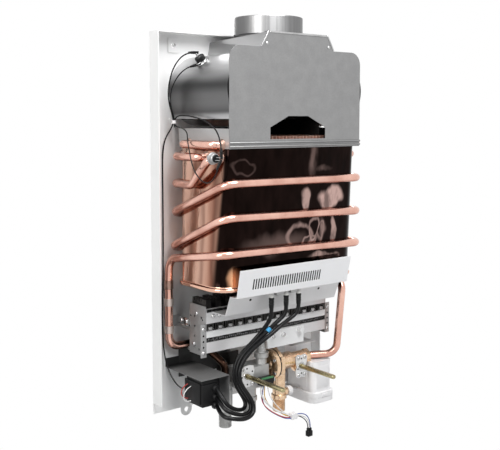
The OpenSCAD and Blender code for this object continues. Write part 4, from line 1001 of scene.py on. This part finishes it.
def make_flue_thermostat():
    """A button thermostat with a bright flange and two ears, leaning out from the hood's left roll."""
    flange = [(55.05, 10.6), (55.3, 11.2), (56.2, 11.2), (56.6, 10.8), (56.6, 8.4), (57.2, 8.2), (58.4, 8.2),
              (58.6, 7.8)]
    can = [(58.4, 7.4), (58.8, 7.8), (60.0, 7.8), (60.3, 7.4), (60.9, 7.4), (61.2, 7.8), (64.8, 7.8),
           (65.6, 7.0), (65.8, 5.2), (65.2, 4.6), (65.2, 2.0)]
    pieces = [paint(turned("flange", (0, 0, 0), UP, flange), "bright_steel"),
              paint(turned("can", (0, 0, 0), UP, can), "black_plastic")]
    for side in (-1, 1):
        ear = block("ear", (-3, side * 12.5 - 3, 55.1), (3, side * 12.5 + 3, 56.1), 0.4)
        pieces.append(paint(ear, "bright_steel"))
        rivet = turned("rivet", (0, side * 13, 56.1), UP, [(0, 1.9), (0.6, 1.8), (1.1, 1.0)], 16)
        pieces.append(paint(rivet, "bright_steel"))
    for low, high in (((-3, -0.4, 64), (3, 0.4, 72)), ((-14, -7, 59.6), (-7, -1, 60.4))):
        pieces.append(paint(block("blade", low, high, 0.15), "bright_steel"))
    thermostat = joined("hood_thermostat", pieces)
    seat(thermostat, (-81, -65, 205), (0, -40, 0))
    boots = []
    for end, way in (((-124, -66, 261), (-13, 10.4, 0)), ((-124, -69, 244), (-14, 8, -5))):
        boots.append(paint(turned("boot", end, way, WIRE_BOOT, 20), "black_rubber"))
    give(joined("hood_thermostat", [thermostat] + boots), ["flue_thermostat"])


def make_overheat_thermostat():
    """A bright button thermostat clipped to the tube, with a dark face and two boots."""
    x, y, z = -149.65, -134.65, 104
    clip = block("clip", (x - 9, y - 2, z - 4), (x + 9, y, z + 4), 0.5)
    can = [(0, 8.2), (0.4, 9), (1.8, 9), (2.2, 8.4), (2.4, 7.4), (7.6, 7.4), (8.4, 6.8), (8.5, 5.6)]
    face = [(0, 6.0), (1.8, 5.9), (2.4, 5.3), (2.5, 4.2), (2.0, 3.8), (2.0, 1.5)]
    pieces = [paint(clip, "bright_steel"),
              paint(turned("can", (x, y - 1, z), FORWARD, can), "burner_steel"),
              paint(turned("face", (x, y - 9, z), FORWARD, face), "black_plastic")]
    for low, high in (((x - 3, y - 24, z + 1.6), (x + 3, y - 10, z + 2.4)),
                      ((x - 4, y - 24, z - 2.4), (x + 2, y - 10, z - 1.6))):
        pieces.append(paint(block("blade", low, high, 0.15), "bright_steel"))
    for end, way in (((-150, -158, 103.5), UP), ((-150.4, -158.2, 103), (-3.6, 0.4, -7))):
        pieces.append(paint(turned("boot", end, way, WIRE_BOOT, 20), "black_rubber"))
    give(joined("tube_thermostat", pieces), ["overheat_thermostat"])


VENT_BACK_Y = -149.9
VENT_LEAN = 12.1


def make_vent_shade_strip():
    """A dark strip against the back of the slotted vent plate, painted shade seen through the slots."""
    shade_strip = block("vent_shade_strip", (-71, 0.0, -11.5), (71, 0.8, 11.5), 0.2)
    seat(shade_strip, (-18, VENT_BACK_Y, -85.75), (VENT_LEAN, 0, 0))
    give(paint(shade_strip, "black_plastic"))


# Burner and electrodes

BAR_PITCH = 19.467
INLET_COUNT = 13
FIRST_INLET_X = -6 * BAR_PITCH
FIRST_WEB_X = -6.5 * BAR_PITCH


def make_mouths():
    """Air mouths and dividers in the row of dark inlets, and the pierced strips along the burner."""
    lip = [(0, 4.9), (2.6, 4.9), (3.2, 5.2), (3.9, 5.2), (4.2, 4.8), (3.9, 4.2), (3.2, 3.8), (0, 3.6)]
    mouth = turned("mouth", (FIRST_INLET_X, -80.2, -159.6), FORWARD, lip, 24, ring=True)
    cup = block("cup", (FIRST_INLET_X - 4.4, -84.2, -165.0), (FIRST_INLET_X + 3.8, -80.4, -158.6), 1.2, 3)
    first = joined("mouth", [paint(mouth, "dark_steel"), paint(cup, "burner_steel")])
    mouths = [first]
    for k in range(1, INLET_COUNT):
        mouths.append(copy_of(first, "mouth", (k * BAR_PITCH, 0, 0)))
    give(joined("air_mouths", mouths))
    web = block("web", (FIRST_WEB_X - 0.5, -84.0, -164.6), (FIRST_WEB_X + 0.5, -80.4, -152.8), 0.2)
    webs = [web]
    for k in range(1, INLET_COUNT + 1):
        if abs(FIRST_WEB_X + k * BAR_PITCH) < BURNER_HALF - 1:
            webs.append(copy_of(web, "web", (k * BAR_PITCH, 0, 0)))
    give(paint(joined("inlet_webs", webs), "dark_steel"))
    upper = block("strip", (-124, -84.5, -135.5), (124, -84.0, -131.0), 0.2)
    lower = block("strip", (-124, -82.6, -182.3), (124, -81.4, -175.2), 0.3)
    give(paint(joined("pierced_strips", [upper, lower]), "pierced_strip"))


EYELET = [(0, 2.6), (0.3, 2.4), (0.35, 1.9), (0.12, 1.7)]
EYELET_PLACES = [(-76, -148), (-44, -146), (-76, -172), (-40, -163), (-66, -196), (-38, -200)]


def make_eyelets():
    """Small rimmed holes in the burner's end plates and their front folds; the holes are black discs of
    painted shade.
    """
    rims = []
    holes = []
    dip = [(0.1, 1.7), (0.2, 1.6), (0.22, 0.6)]
    for side in (-1, 1):
        places = [((side * BURNER_HALF, y, z), (side, 0, 0)) for y, z in EYELET_PLACES]
        places += [((side * 130.5, -84, z), FORWARD) for z in (-171, -180, -189)]
        for place, axis in places:
            rims.append(paint(turned("rim", place, axis, EYELET, 16), "burner_steel"))
            holes.append(paint(turned("hole", place, axis, dip, 16), "painted_shade_black"))
    give(joined("plate_eyelets", rims + holes))


def make_bracket_details():
    """Electrode holders, two holes in the bracket's slope and a clip on the burner's left ear; the holes are
    black discs of painted shade.
    """
    pieces = []
    for start, end in ((-32, -16), (-2, 10)):
        pieces.append(paint(block("holder", (start, -141, -111), (end, -133, -105.2), 0.8), "burner_steel"))
    for place in ((-72.2, -126.6, -114.9), (69.7, -126.8, -114.5)):
        hole = turned("hole", place, (0, -0.93, -0.38), [(0, 2.2), (0.1, 2.1), (0.12, 0.6)], 16)
        pieces.append(paint(hole, "painted_shade_black"))
    pieces.append(paint(block("clip", (-127.6, -40, -163), (-126, -14, -152), 0.5), "bright_steel"))
    pieces.append(paint(block("clip", (-133, -40, -163.6), (-126, -14, -162.4), 0.4), "bright_steel"))
    give(joined("bracket_details", pieces))


def make_electrodes():
    glaze = [(-114, 3.2), (-113.4, 3.9), (-108.0, 4), (-107.4, 3.6), (-106.4, 3.6), (-105.8, 4), (-104.1, 4),
             (-104.0, 5.2), (-103.6, 5.5), (-102.4, 5.5), (-101.5, 4.6)]
    rubber = [(-131, 3.3), (-130.4, 3.7), (-126, 3.9), (-125.4, 4.2), (-124, 4.2), (-123.4, 3.8), (-122, 3.8),
              (-121.4, 4.2), (-120, 4.2), (-119.4, 3.8), (-118, 3.8), (-117.4, 4.25), (-114.6, 4.25),
              (-114, 3.9)]
    ceramics = []
    boots = []
    for x in (-39, -9, 17):
        ceramics.append(turned("ceramic", (x, -137, 0), UP, glaze, 32))
        boots.append(turned("boot", (x, -137, 0), UP, rubber, 32))
    give(paint(joined("spark_ceramics", ceramics), "ceramic"), ["electrode_insulators"])
    give(paint(joined("lead_boots", boots), "black_rubber"), ["electrode_boots"])


# Valves, stubs and their shafts

SHAFT_Y = -84
SHAFT_R = 4
FLAT_START = 30.5
FLAT_HALF = 2.9


def make_shaft(name, hub, length, node, body):
    """A knob shaft with a retaining groove and two flats towards its end."""
    x, z = hub
    rod = [(0, SHAFT_R), (4, SHAFT_R), (4.3, 3.1), (5.7, 3.1), (6, SHAFT_R), (30, SHAFT_R), (31, SHAFT_R),
           (length - 1, SHAFT_R), (length, 3.3)]
    shaft = turned(name, (x, SHAFT_Y, z), FORWARD, rod, 48)
    for corner in shaft.data.vertices:
        if corner.co.y < (SHAFT_Y - FLAT_START) * MM:
            corner.co.z = max(min(corner.co.z, (z + FLAT_HALF) * MM), (z - FLAT_HALF) * MM)
    give(paint(shaft, "zinc_shaft"), [node], body)


GAS_PLATE = [(-61, -243), (-58, -236), (-50, -232.5), (-41, -232), (-33, -234), (-31.5, -242), (-34, -250),
             (-31.5, -257), (-34, -264), (-42, -267.5), (-52, -268), (-58, -265), (-61, -258), (-58.5, -250)]
WATER_PLATE = [(57.5, -247), (57, -238), (62, -233.5), (70, -235.5), (78, -233.5), (83, -238), (82.5, -247),
               (80, -254), (83, -262), (82, -271), (76, -274.5), (70, -272), (64, -274.5), (58, -271),
               (57, -262), (60, -254)]
GAS_HUB = (-46, -250)
WATER_HUB = (70, -254)
GAS_HOLES = ((-57, -250), (-46, -263), (-36, -243), (-47, -237))
WATER_HOLES = ((70, -266), (62, -258), (78, -258), (70, -241))
PLATE_RIM = [(0, 7.6), (0.5, 7.3), (0.7, 6.6), (0.6, 5.0), (0, 4.4)]
PLATE_HOLE = [(0, 1.5), (0.1, 1.45), (0.12, 0.5)]


def make_faced_plate(name, outline, hub, holes, node):
    """A thin plate of a curved outline with a raised ring round the shaft and small holes, black discs of
    painted shade.
    """
    clear_choice()
    bpy.ops.mesh.primitive_circle_add(vertices=len(outline), radius=1, fill_type="NGON")
    plate = bpy.context.object
    low, high = [v / MM for v in (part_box(node)[0][1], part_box(node)[1][1])]
    places = sorted(outline, key=lambda p: math.atan2(p[1] - hub[1], p[0] - hub[0]))
    corners = sorted(plate.data.vertices, key=lambda c: math.atan2(c.co.y, c.co.x))
    for corner, (x, z) in zip(corners, places):
        corner.co = Vector((x, high, z)) * MM
    open_edit()
    bpy.ops.mesh.extrude_region_move(TRANSFORM_OT_translate={"value": (0, (low - high) * MM, 0)})
    close_edit()
    soften(plate, 0.4)
    ring = turned("ring", (hub[0], low, hub[1]), FORWARD, PLATE_RIM, 32, ring=True)
    pieces = [paint(plate, "bright_plate"), paint(ring, "bright_steel")]
    for x, z in holes:
        pieces.append(paint(turned("hole", (x, low, z), FORWARD, PLATE_HOLE, 14), "painted_shade_black"))
    give(joined(name, pieces), [node])


def make_plates():
    make_faced_plate("gas_face", GAS_PLATE, GAS_HUB, GAS_HOLES, "gas_shaft_plate")
    make_faced_plate("water_face", WATER_PLATE, WATER_HUB, WATER_HOLES, "water_shaft_plate")


STUB_BORE = 7.4
WATER_Y = -72
WATER_Z = -243
DRAIN_Z = -296


def stub_end(end, top):
    """The open threaded end of a pipe stub, as distance and radius pairs."""
    rows = [(end + 12, STUB_BORE), (end + 0.4, STUB_BORE), (end, 8), (end, 9.5)]
    return rows + thread(end + 0.4, top, 10.45, 9.5)


def make_stubs():
    gas = stub_end(-321, -300)
    gas += [(-299.5, 9.5), (-299.4, 12), (-299, 12.4), (-292.6, 12.4), (-292, 11.8), (-291.6, 10.6),
            (-278, 10.6)]
    stub = turned("gas_stub", (-22, -61, 0), UP, gas, 40)
    give(paint(stub, "cast_alloy"), ["gas_inlet"])
    hot = stub_end(-338, -312)
    hot += [(-311.6, 9.6), (-311.4, 11.6), (-311, 12), (-276, 12), (-275, 11.6), (-274, 10)]
    stub = turned("hot_stub", (-64, -50, 0), UP, hot, 40)
    hexagon = [(-274.5, 11), (-273.6, 13), (-265.4, 13), (-264.5, 11)]
    nut = turned("nut", (-64, -50, 0), UP, hexagon, 6)
    give(paint(joined("hot_stub", [stub, nut]), "cast_alloy"), ["hot_outlet"])
    cold = stub_end(-326, -305)
    cold += [(-304.4, 9.6), (-304.3, 12.4), (-303.9, 12.9), (-297.6, 12.9), (-297, 12.3), (-296.6, 10.9),
             (-270, 10.9)]
    stub = turned("cold_stub", (32, WATER_Y, 0), UP, cold, 40)
    boss = turned("boss", (32, WATER_Y, DRAIN_Z), RIGHT, [(0, 6), (15.6, 6), (16.4, 5.4)], 28)
    give(paint(joined("cold_stub", [stub, boss]), "brass"), ["cold_inlet"])


FLUTE_START = 8.2
FLUTE_DEPTH = 0.05
FLUTE_COUNT = 12


def make_drain_knob():
    """A white drain knob with finger flutes."""
    cap = [(-7, 3), (0, 3), (0.1, 7.4), (0.9, 8.4), (7.6, 8.4), (8.6, 7.6), (9, 5.6), (8.2, 5.0), (8.2, 2.0)]
    knob = turned("drain_cap", (48.8, WATER_Y, DRAIN_Z), RIGHT, cap, 36)
    for corner in knob.data.vertices:
        out = Vector((0, corner.co.y - WATER_Y * MM, corner.co.z - DRAIN_Z * MM))
        if out.length > FLUTE_START * MM:
            turn = math.atan2(out.z, out.y)
            corner.co -= out * FLUTE_DEPTH * (1 + math.cos(FLUTE_COUNT * turn))
    give(paint(knob, "white_plastic"), ["drain_knob"], "drain_screw")


def make_water_section():
    """Brass water section: bolted flange, barrel, shaft boss and the branch down to the cold stub."""
    body = [(17.5, 24.2), (18.1, 25), (23.8, 25), (24.5, 24.3), (24.6, 17.5), (26.5, 15.6), (30, 14.2),
            (55, 14), (56, 13.6), (56.6, 11.5), (72, 11.5), (86, 11.4)]
    pieces = [turned("barrel", (0, WATER_Y, WATER_Z), RIGHT, body, 56)]
    pieces.append(turned("boss", (70, WATER_Y, -254), FORWARD, [(0, 12), (10.8, 12), (12, 11.2)], 40))
    pieces.append(turned("branch", (32, WATER_Y, 0), UP, [(-270, 11), (-258, 11), (-250, 12.4)], 40))
    nut = [(84, 11.2), (85, 13.2), (94, 13.2), (95, 11.2)]
    ring = [(95, 9.4), (95.4, 9.8), (97, 9.0), (98, 7)]
    for name, profile, sides in (("nut", nut, 6), ("ring", ring, 32)):
        pieces.append(turned(name, (0, WATER_Y, WATER_Z), RIGHT, profile, sides))
    for turn in range(0, 360, 60):
        angle = math.radians(turn + 30)
        y = WATER_Y + 22 * math.cos(angle)
        z = WATER_Z + 22 * math.sin(angle)
        pieces.append(turned("lug", (0, y, z), RIGHT, [(17.6, 4.2), (25.6, 4.2), (26.6, 3.4)], 20))
    give(paint(joined("water_section", pieces), "brass"), ["water_valve_body"])
    cover = [(16, 24.2), (15.4, 25), (9.6, 25), (8.6, 24.2), (8.2, 21), (8, 17), (9.4, 15.4), (9.4, 8.2),
             (8.2, 7.2), (8.2, 3.2)]
    pieces = [turned("cover", (0, WATER_Y, WATER_Z), RIGHT, cover, 56)]
    for y, z in ((-60, -258), (-58, -243)):
        pieces.append(turned("post", (0, y, z), RIGHT, [(0, 3), (8.8, 3), (9, 2.6)], 20))
    give(paint(joined("flange_cover", pieces), "brass"), ["diaphragm_cover"])


def make_gas_tube():
    rings = [(-228, 10.6), (-227, 12), (-220, 12), (-219, 10.8), (-218.6, 8)]
    for k in range(5):
        z = -217.5 + 4 * k
        rings += [(z, 7.5), (z + 0.8, 8), (z + 2.6, 8), (z + 3.2, 7.5)]
    rings += [(-197, 7.6), (-196, 8)]
    tube = turned("gas_riser", (-6, WATER_Y, 0), UP, rings, 36)
    give(paint(tube, "cast_alloy"), ["gas_outlet_tube"])


def make_switch_details():
    board = block("board", (-26, -97.4, -257.2), (-1, -96.4, -254), 0.2)
    pieces = [paint(board, "green_plastic")]
    for x in (-20, -14, -8):
        tag = block("tag", (x - 0.5, -91.5, -271), (x + 0.5, -88.5, -267.5), 0.15)
        pieces.append(paint(tag, "bright_steel"))
    give(joined("switch_details", pieces))


# Igniter and battery box

def make_igniter():
    case = block("case", (-143, -98, -278), (-110, -56, -243.2), 1.2, 3)
    lid = block("lid", (-143, -98, -242.8), (-110, -56, -235.1), 1.2, 3)
    side = block("side", (-145, -94, -274), (-142, -53, -241), 0.8)
    rib = block("rib", (-112, -99.2, -276), (-110.4, -96, -238), 0.5)
    pieces = [case, lid, side, rib]
    tower = [(0, 6.0), (2.6, 5.8), (5.4, 4.8), (6.2, 4.2)]
    for z in (-251, -265, -278):
        pieces.append(turned("tower", (-119, -97, z), FORWARD, tower, 28))
    give(paint(joined("spark_box", pieces), "black_plastic"), ["igniter_box"])


def make_valve_shade_sheet():
    """A thin dark sheet on the panel behind the valves, standing for the shade that falls there."""
    sheet = block("valve_shade_sheet", (-122, -2.5, -256), (-18, -1.5, -204), 0.3)
    give(paint(sheet, "dark_sheet"))


def make_battery_details():
    """A latch and shallow ribs on the battery box."""
    pieces = [block("latch", (104, -102.2, -311), (116, -100.6, -304.5), 0.6),
              block("panel", (87.4, -80, -296), (88.3, -40, -258), 0.4),
              block("panel", (96, -96.6, -296), (124, -95.7, -258), 0.4),
              block("stop", (87.2, -66, -302.6), (88.4, -56, -299.0), 0.4)]
    give(paint(joined("battery_relief", pieces), "white_plastic"))


# Screws

def make_screw():
    """A cross-headed screw, its seat at the origin and its head along Z."""
    screw = turned("screw", (0, 0, 0), UP, [(0, 3.2), (0.5, 3.4), (1.2, 3.2), (1.9, 2.5), (2.2, 1.6)], 24)
    cross = joined("cross", [block("bar", (-1.9, -0.35, 1.2), (1.9, 0.35, 3), 0.05, 1),
                             block("bar", (-0.35, -1.9, 1.2), (0.35, 1.9, 3), 0.05, 1)])
    choose(screw)
    cut = screw.modifiers.new("cross_recess", "BOOLEAN")
    cut.operation = "DIFFERENCE"
    cut.solver = "EXACT"
    cut.object = cross
    cut.use_self = True
    bpy.ops.object.modifier_apply(modifier=cut.name)
    bpy.data.objects.remove(cross)
    return screw


SCREWS = (
    (FORWARD, ((-128, -3.5, 276), (128, -3.5, 276), (-56, -86, -263), (-36, -86, -263), (-56, -86, -237),
               (63, -86, -239), (77, -86, -239), (63, -86, -269), (77, -86, -269), (4, -91.3, -191.5),
               (26, -91.3, -191.5), (-130.5, -84, -161), (-130.5, -84, -198), (130.5, -84, -161),
               (130.5, -84, -198), (-100, -84.2, -142), (-112, -84.2, -142), (112, -84.2, -142))),
    (LEFT, ((-126, -60, -140), (-126, -52, -190))),
    (RIGHT, ((126, -60, -140), (126, -52, -190))),
    (UP, ((85, -14, -220),)),
    (LEFT, ((-127.6, -34, -157.5), (-127.6, -20, -157.5))),
)


def make_screws():
    pattern = make_screw()
    screws = []
    for axis, places in SCREWS:
        for place in places:
            screw = copy_of(pattern, "screw", (0, 0, 0))
            aim(screw, place, axis)
            screws.append(screw)
    bpy.data.objects.remove(pattern)
    give(paint(joined("plate_screws", screws), "bright_steel"))


# Leads and wires

LEAD_LEFT = [(-39, -137, -131), (-39, -137, -141), (-38, -133, -150), (-44, -121, -169),
             (-60, -113, -188), (-78, -109, -202), (-88, -108, -217), (-91, -109, -236),
             (-89, -112, -251), (-82, -117, -264), (-77, -122, -276), (-83, -126, -285),
             (-98, -128, -283), (-115, -127, -274), (-119, -121, -264), (-120, -110, -255),
             (-119, -103, -251), (-119, -98, -251)]
LEAD_MIDDLE = [(-9, -137, -131), (-9, -137, -140), (-13, -135, -148), (-27, -134, -155),
               (-42, -130, -169), (-58, -123, -183), (-76, -118, -198), (-88, -116, -213),
               (-93, -117, -232), (-89, -120, -250), (-79, -126, -266), (-73, -132, -279),
               (-81, -136, -288), (-98, -138, -288), (-116, -136, -281), (-123, -128, -276),
               (-122, -113, -268), (-119, -103, -265), (-119, -98, -265)]
LEAD_RIGHT = [(17, -137, -131), (17, -137, -139), (13, -136, -146), (4, -135, -152), (-17, -137, -159),
              (-39, -138, -171), (-60, -132, -184), (-78, -127, -199), (-89, -124, -215),
              (-94, -125, -231), (-90, -128, -247), (-80, -135, -263), (-74, -140, -279),
              (-82, -144, -290), (-100, -146, -292), (-118, -144, -287), (-129, -134, -286),
              (-125, -116, -281), (-119, -103, -278), (-119, -98, -278)]
THERMOSTAT_WIRE = [(-129, -62, 261), (-139, -54, 261), (-146, -40, 250), (-149, -27, 230),
                   (-150, -20, 205), (-147, -18, 185), (-142, -19, 170), (-140, -19, 160),
                   (-140, -19, 154), (-143, -16, 144), (-149, -9, 132), (-150, -3, 110), (-150, -3, 80),
                   (-150, -3, 20), (-150, -3, -60), (-153, -3, -140), (-153, -4, -200), (-153, -14, -230),
                   (-153, -34, -250), (-150, -49, -258), (-145, -49, -258)]
OVERHEAT_WIRE = [(-137.5, -19, 148), (-137.5, -19, 154), (-137.5, -19, 160), (-137, -25, 166),
                 (-137, -45, 167), (-138, -75, 164), (-139, -102, 159), (-141, -130, 149),
                 (-145, -148, 134), (-150, -158, 118), (-150, -158, 109)]
SERIES_WIRE = [(-137, -61.6, 239.4), (-140.5, -59.6, 238), (-147, -50, 231), (-150, -39, 218),
               (-151, -30, 205), (-149, -24, 190), (-144, -21, 174), (-140, -20.6, 165),
               (-138.75, -20.6, 160), (-138.75, -20.6, 156), (-138.5, -21, 151), (-137, -28, 148.5),
               (-137.5, -42, 147), (-142, -60, 141.5), (-149, -71, 135), (-154, -79, 127),
               (-155.5, -84, 119), (-157.5, -92, 101), (-159, -102, 86), (-160, -115, 75.5),
               (-160, -130, 68.5), (-159.5, -143, 69), (-158.5, -151, 75), (-156.5, -156, 85),
               (-154.9, -157.5, 93), (-153.9, -157.8, 96.4)]
IGNITER_RED = [(-144, -62, -248), (-147, -61, -249), (-152, -59, -253), (-155, -58, -260),
               (-154, -59, -267), (-149, -61, -271), (-144, -62, -271)]
IGNITER_WHITE = [(-144, -70, -250), (-148, -70, -251), (-155, -69, -256), (-158, -68, -264),
                 (-156, -68, -271), (-150, -69, -274), (-144, -70, -273)]
LOOM_RED = [(-20, -90, -269), (-20, -91, -274), (-25, -94, -284), (-24, -98, -297), (-15, -103, -307),
            (-4, -108, -315), (7, -113.5, -321), (14, -116.5, -322.5), (19, -116.5, -322.5)]
LOOM_YELLOW = [(-14, -90, -269), (-14, -91, -273), (-18, -93, -282), (-17, -97, -293), (-10, -102, -303),
               (0, -107, -311), (9, -113, -318), (14, -116, -320), (19, -116, -320)]
LOOM_WHITE = [(-8, -90, -269), (-8, -91, -272), (-9, -93, -279), (-8, -98, -289), (-3, -103, -299),
              (4, -108, -308), (11, -114, -316), (15, -118, -319), (19, -118.5, -319.5)]
LOOM_BLUE = [(-15, -89, -269), (-16, -89, -275), (-21, -91, -288), (-20, -96, -301), (-12, -101, -310),
             (-1, -106.5, -317.5), (8, -113, -323), (14, -118, -324), (19, -118.5, -323.5)]
LOOM_SLEEVE = [(-21, -92, -267.5), (-22, -92.5, -270.5), (-26, -94, -277), (-24, -97, -286),
               (-18, -101, -295.5), (-11, -105, -303.5), (-1, -108.5, -310.5), (8, -111.5, -315),
               (15, -114, -317.6), (19, -114.8, -318)]
TAIL_BLUE = [(29, -118, -320), (34, -118, -319.5), (46, -119, -321), (56, -119.5, -329),
             (59.5, -120, -340), (59.5, -120, -349)]
TAIL_WHITE = [(29, -120, -321.5), (34, -120, -321.5), (45, -120.5, -325), (53.5, -120.5, -332.5),
              (57, -120.5, -341), (57, -120.5, -349)]
TAIL_BLACK = [(29, -117, -322.5), (34, -117, -323), (43, -118, -327), (52, -119, -335),
              (54.5, -119.5, -342), (54.5, -119.5, -349)]
LEAD_R = 3.3
WIRE_R = 1.1
SERIES_R = 0.9
STRAND_R = 0.8
SLEEVE_R = 1.5


def line_length(line):
    """Length of a curve's own line, in metres."""
    graph = bpy.context.evaluated_depsgraph_get()
    depth = line.data.bevel_depth
    line.data.bevel_depth = 0
    graph.update()
    flat = line.evaluated_get(graph).to_mesh()
    length = 0.0
    for edge in flat.edges:
        ends = [flat.vertices[k].co for k in edge.vertices]
        length += (ends[0] - ends[1]).length
    line.evaluated_get(graph).to_mesh_clear()
    line.data.bevel_depth = depth
    graph.update()
    return length


def make_cord(name, route, radius, node, finish):
    line = new_line(name, route, radius)
    paint(line, finish)
    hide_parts(node)
    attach(line, HEATER)
    line_length(line)
    return line


def make_plug():
    """A small black plug: a ribbed body, a narrower collar for the wires and a latch."""
    pieces = [block("body", (52, -124, -361.8), (62, -116.4, -352.4), 0.9, 3),
              block("collar", (53, -122.6, -354), (61, -117.6, -348), 0.8, 3),
              block("latch", (55, -125, -360.6), (59, -123.4, -350.6), 0.5)]
    for z in (-359.6, -357.2, -354.8):
        pieces.append(block("rib", (51.3, -122.8, z - 0.5), (62.7, -117.4, z + 0.5), 0.3))
    plug = joined("loom_end_plug", pieces)
    return give(paint(plug, "black_plastic"), ["loom_plug"])


def make_cords():
    rubber = "black_rubber"
    for place, route in (("left", LEAD_LEFT), ("middle", LEAD_MIDDLE), ("right", LEAD_RIGHT)):
        make_cord("spark_lead_" + place, route, LEAD_R, "ignition_lead_" + place, rubber)
    for name, route, radius, node in (("flue_wire", THERMOSTAT_WIRE, WIRE_R, "thermostat_wire"),
                                      ("overheat_lead", OVERHEAT_WIRE, WIRE_R, "overheat_wire"),
                                      ("series_lead", SERIES_WIRE, SERIES_R, "thermostat_wire")):
        make_cord(name, route, radius, node, rubber)
    for finish, route in (("red_wire", IGNITER_RED), ("white_wire", IGNITER_WHITE)):
        make_cord("igniter_" + finish, route, STRAND_R, "thermostat_wire", finish)
    plug = make_plug()
    for finish, route in (("red_wire", LOOM_RED), ("yellow_wire", LOOM_YELLOW), ("white_wire", LOOM_WHITE),
                          ("blue_wire", LOOM_BLUE)):
        make_cord("loom_" + finish, route, STRAND_R, "loom", finish)
    make_cord("loom_white_sleeve", LOOM_SLEEVE, SLEEVE_R, "loom", "white_wire")
    for finish, route in (("blue_wire", TAIL_BLUE), ("white_wire", TAIL_WHITE), (rubber, TAIL_BLACK)):
        make_cord("tail_" + finish, route, STRAND_R, "loom", finish)


def make_tie_tail():
    """The cut-off end and the head of the cable tie."""
    head = block("head", (-142.6, -20.6, 153.6), (-140.6, -17.4, 159.4), 0.4)
    tail = block("tail", (-0.5, -1.3, 0), (0.5, 1.3, 9), 0.3)
    seat(tail, (-141.8, -19.0, 157), (0, -62, 20))
    give(paint(joined("tie_end", [head, tail]), "white_plastic"))


def make_tape():
    """A short blue marker round the middle lead."""
    place = Vector((-39, -131, -166))
    axis = Vector((-42, -130, -169)) - Vector((-27, -134, -155))
    marker = turned("lead_marker", place, axis, [(-3.4, 3.4), (-3.3, 3.75), (3.3, 3.75), (3.4, 3.4)], 28)
    give(paint(marker, "blue_tape"))


set_camera()
set_world()
set_lamps()
set_floor()
dress_nodes()
make_cords()
make_tubes()
make_joint_rings()
make_shell()
make_spigot()
make_tab_folds()
make_shade_web()
make_flue_thermostat()
make_overheat_thermostat()
make_vent_shade_strip()
make_mouths()
make_eyelets()
make_bracket_details()
make_electrodes()
make_shaft("gas_spindle", GAS_HUB, 91, "gas_shaft", "gas_knob_shaft")
make_shaft("water_spindle", WATER_HUB, 81, "water_shaft", "water_knob_shaft")
make_plates()
make_stubs()
make_drain_knob()
make_water_section()
make_gas_tube()
make_switch_details()
make_igniter()
make_valve_shade_sheet()
make_battery_details()
make_screws()
make_tape()
make_tie_tail()

scene = bpy.context.scene
scene.view_settings.view_transform = "Standard"
bpy.context.view_layer.update()
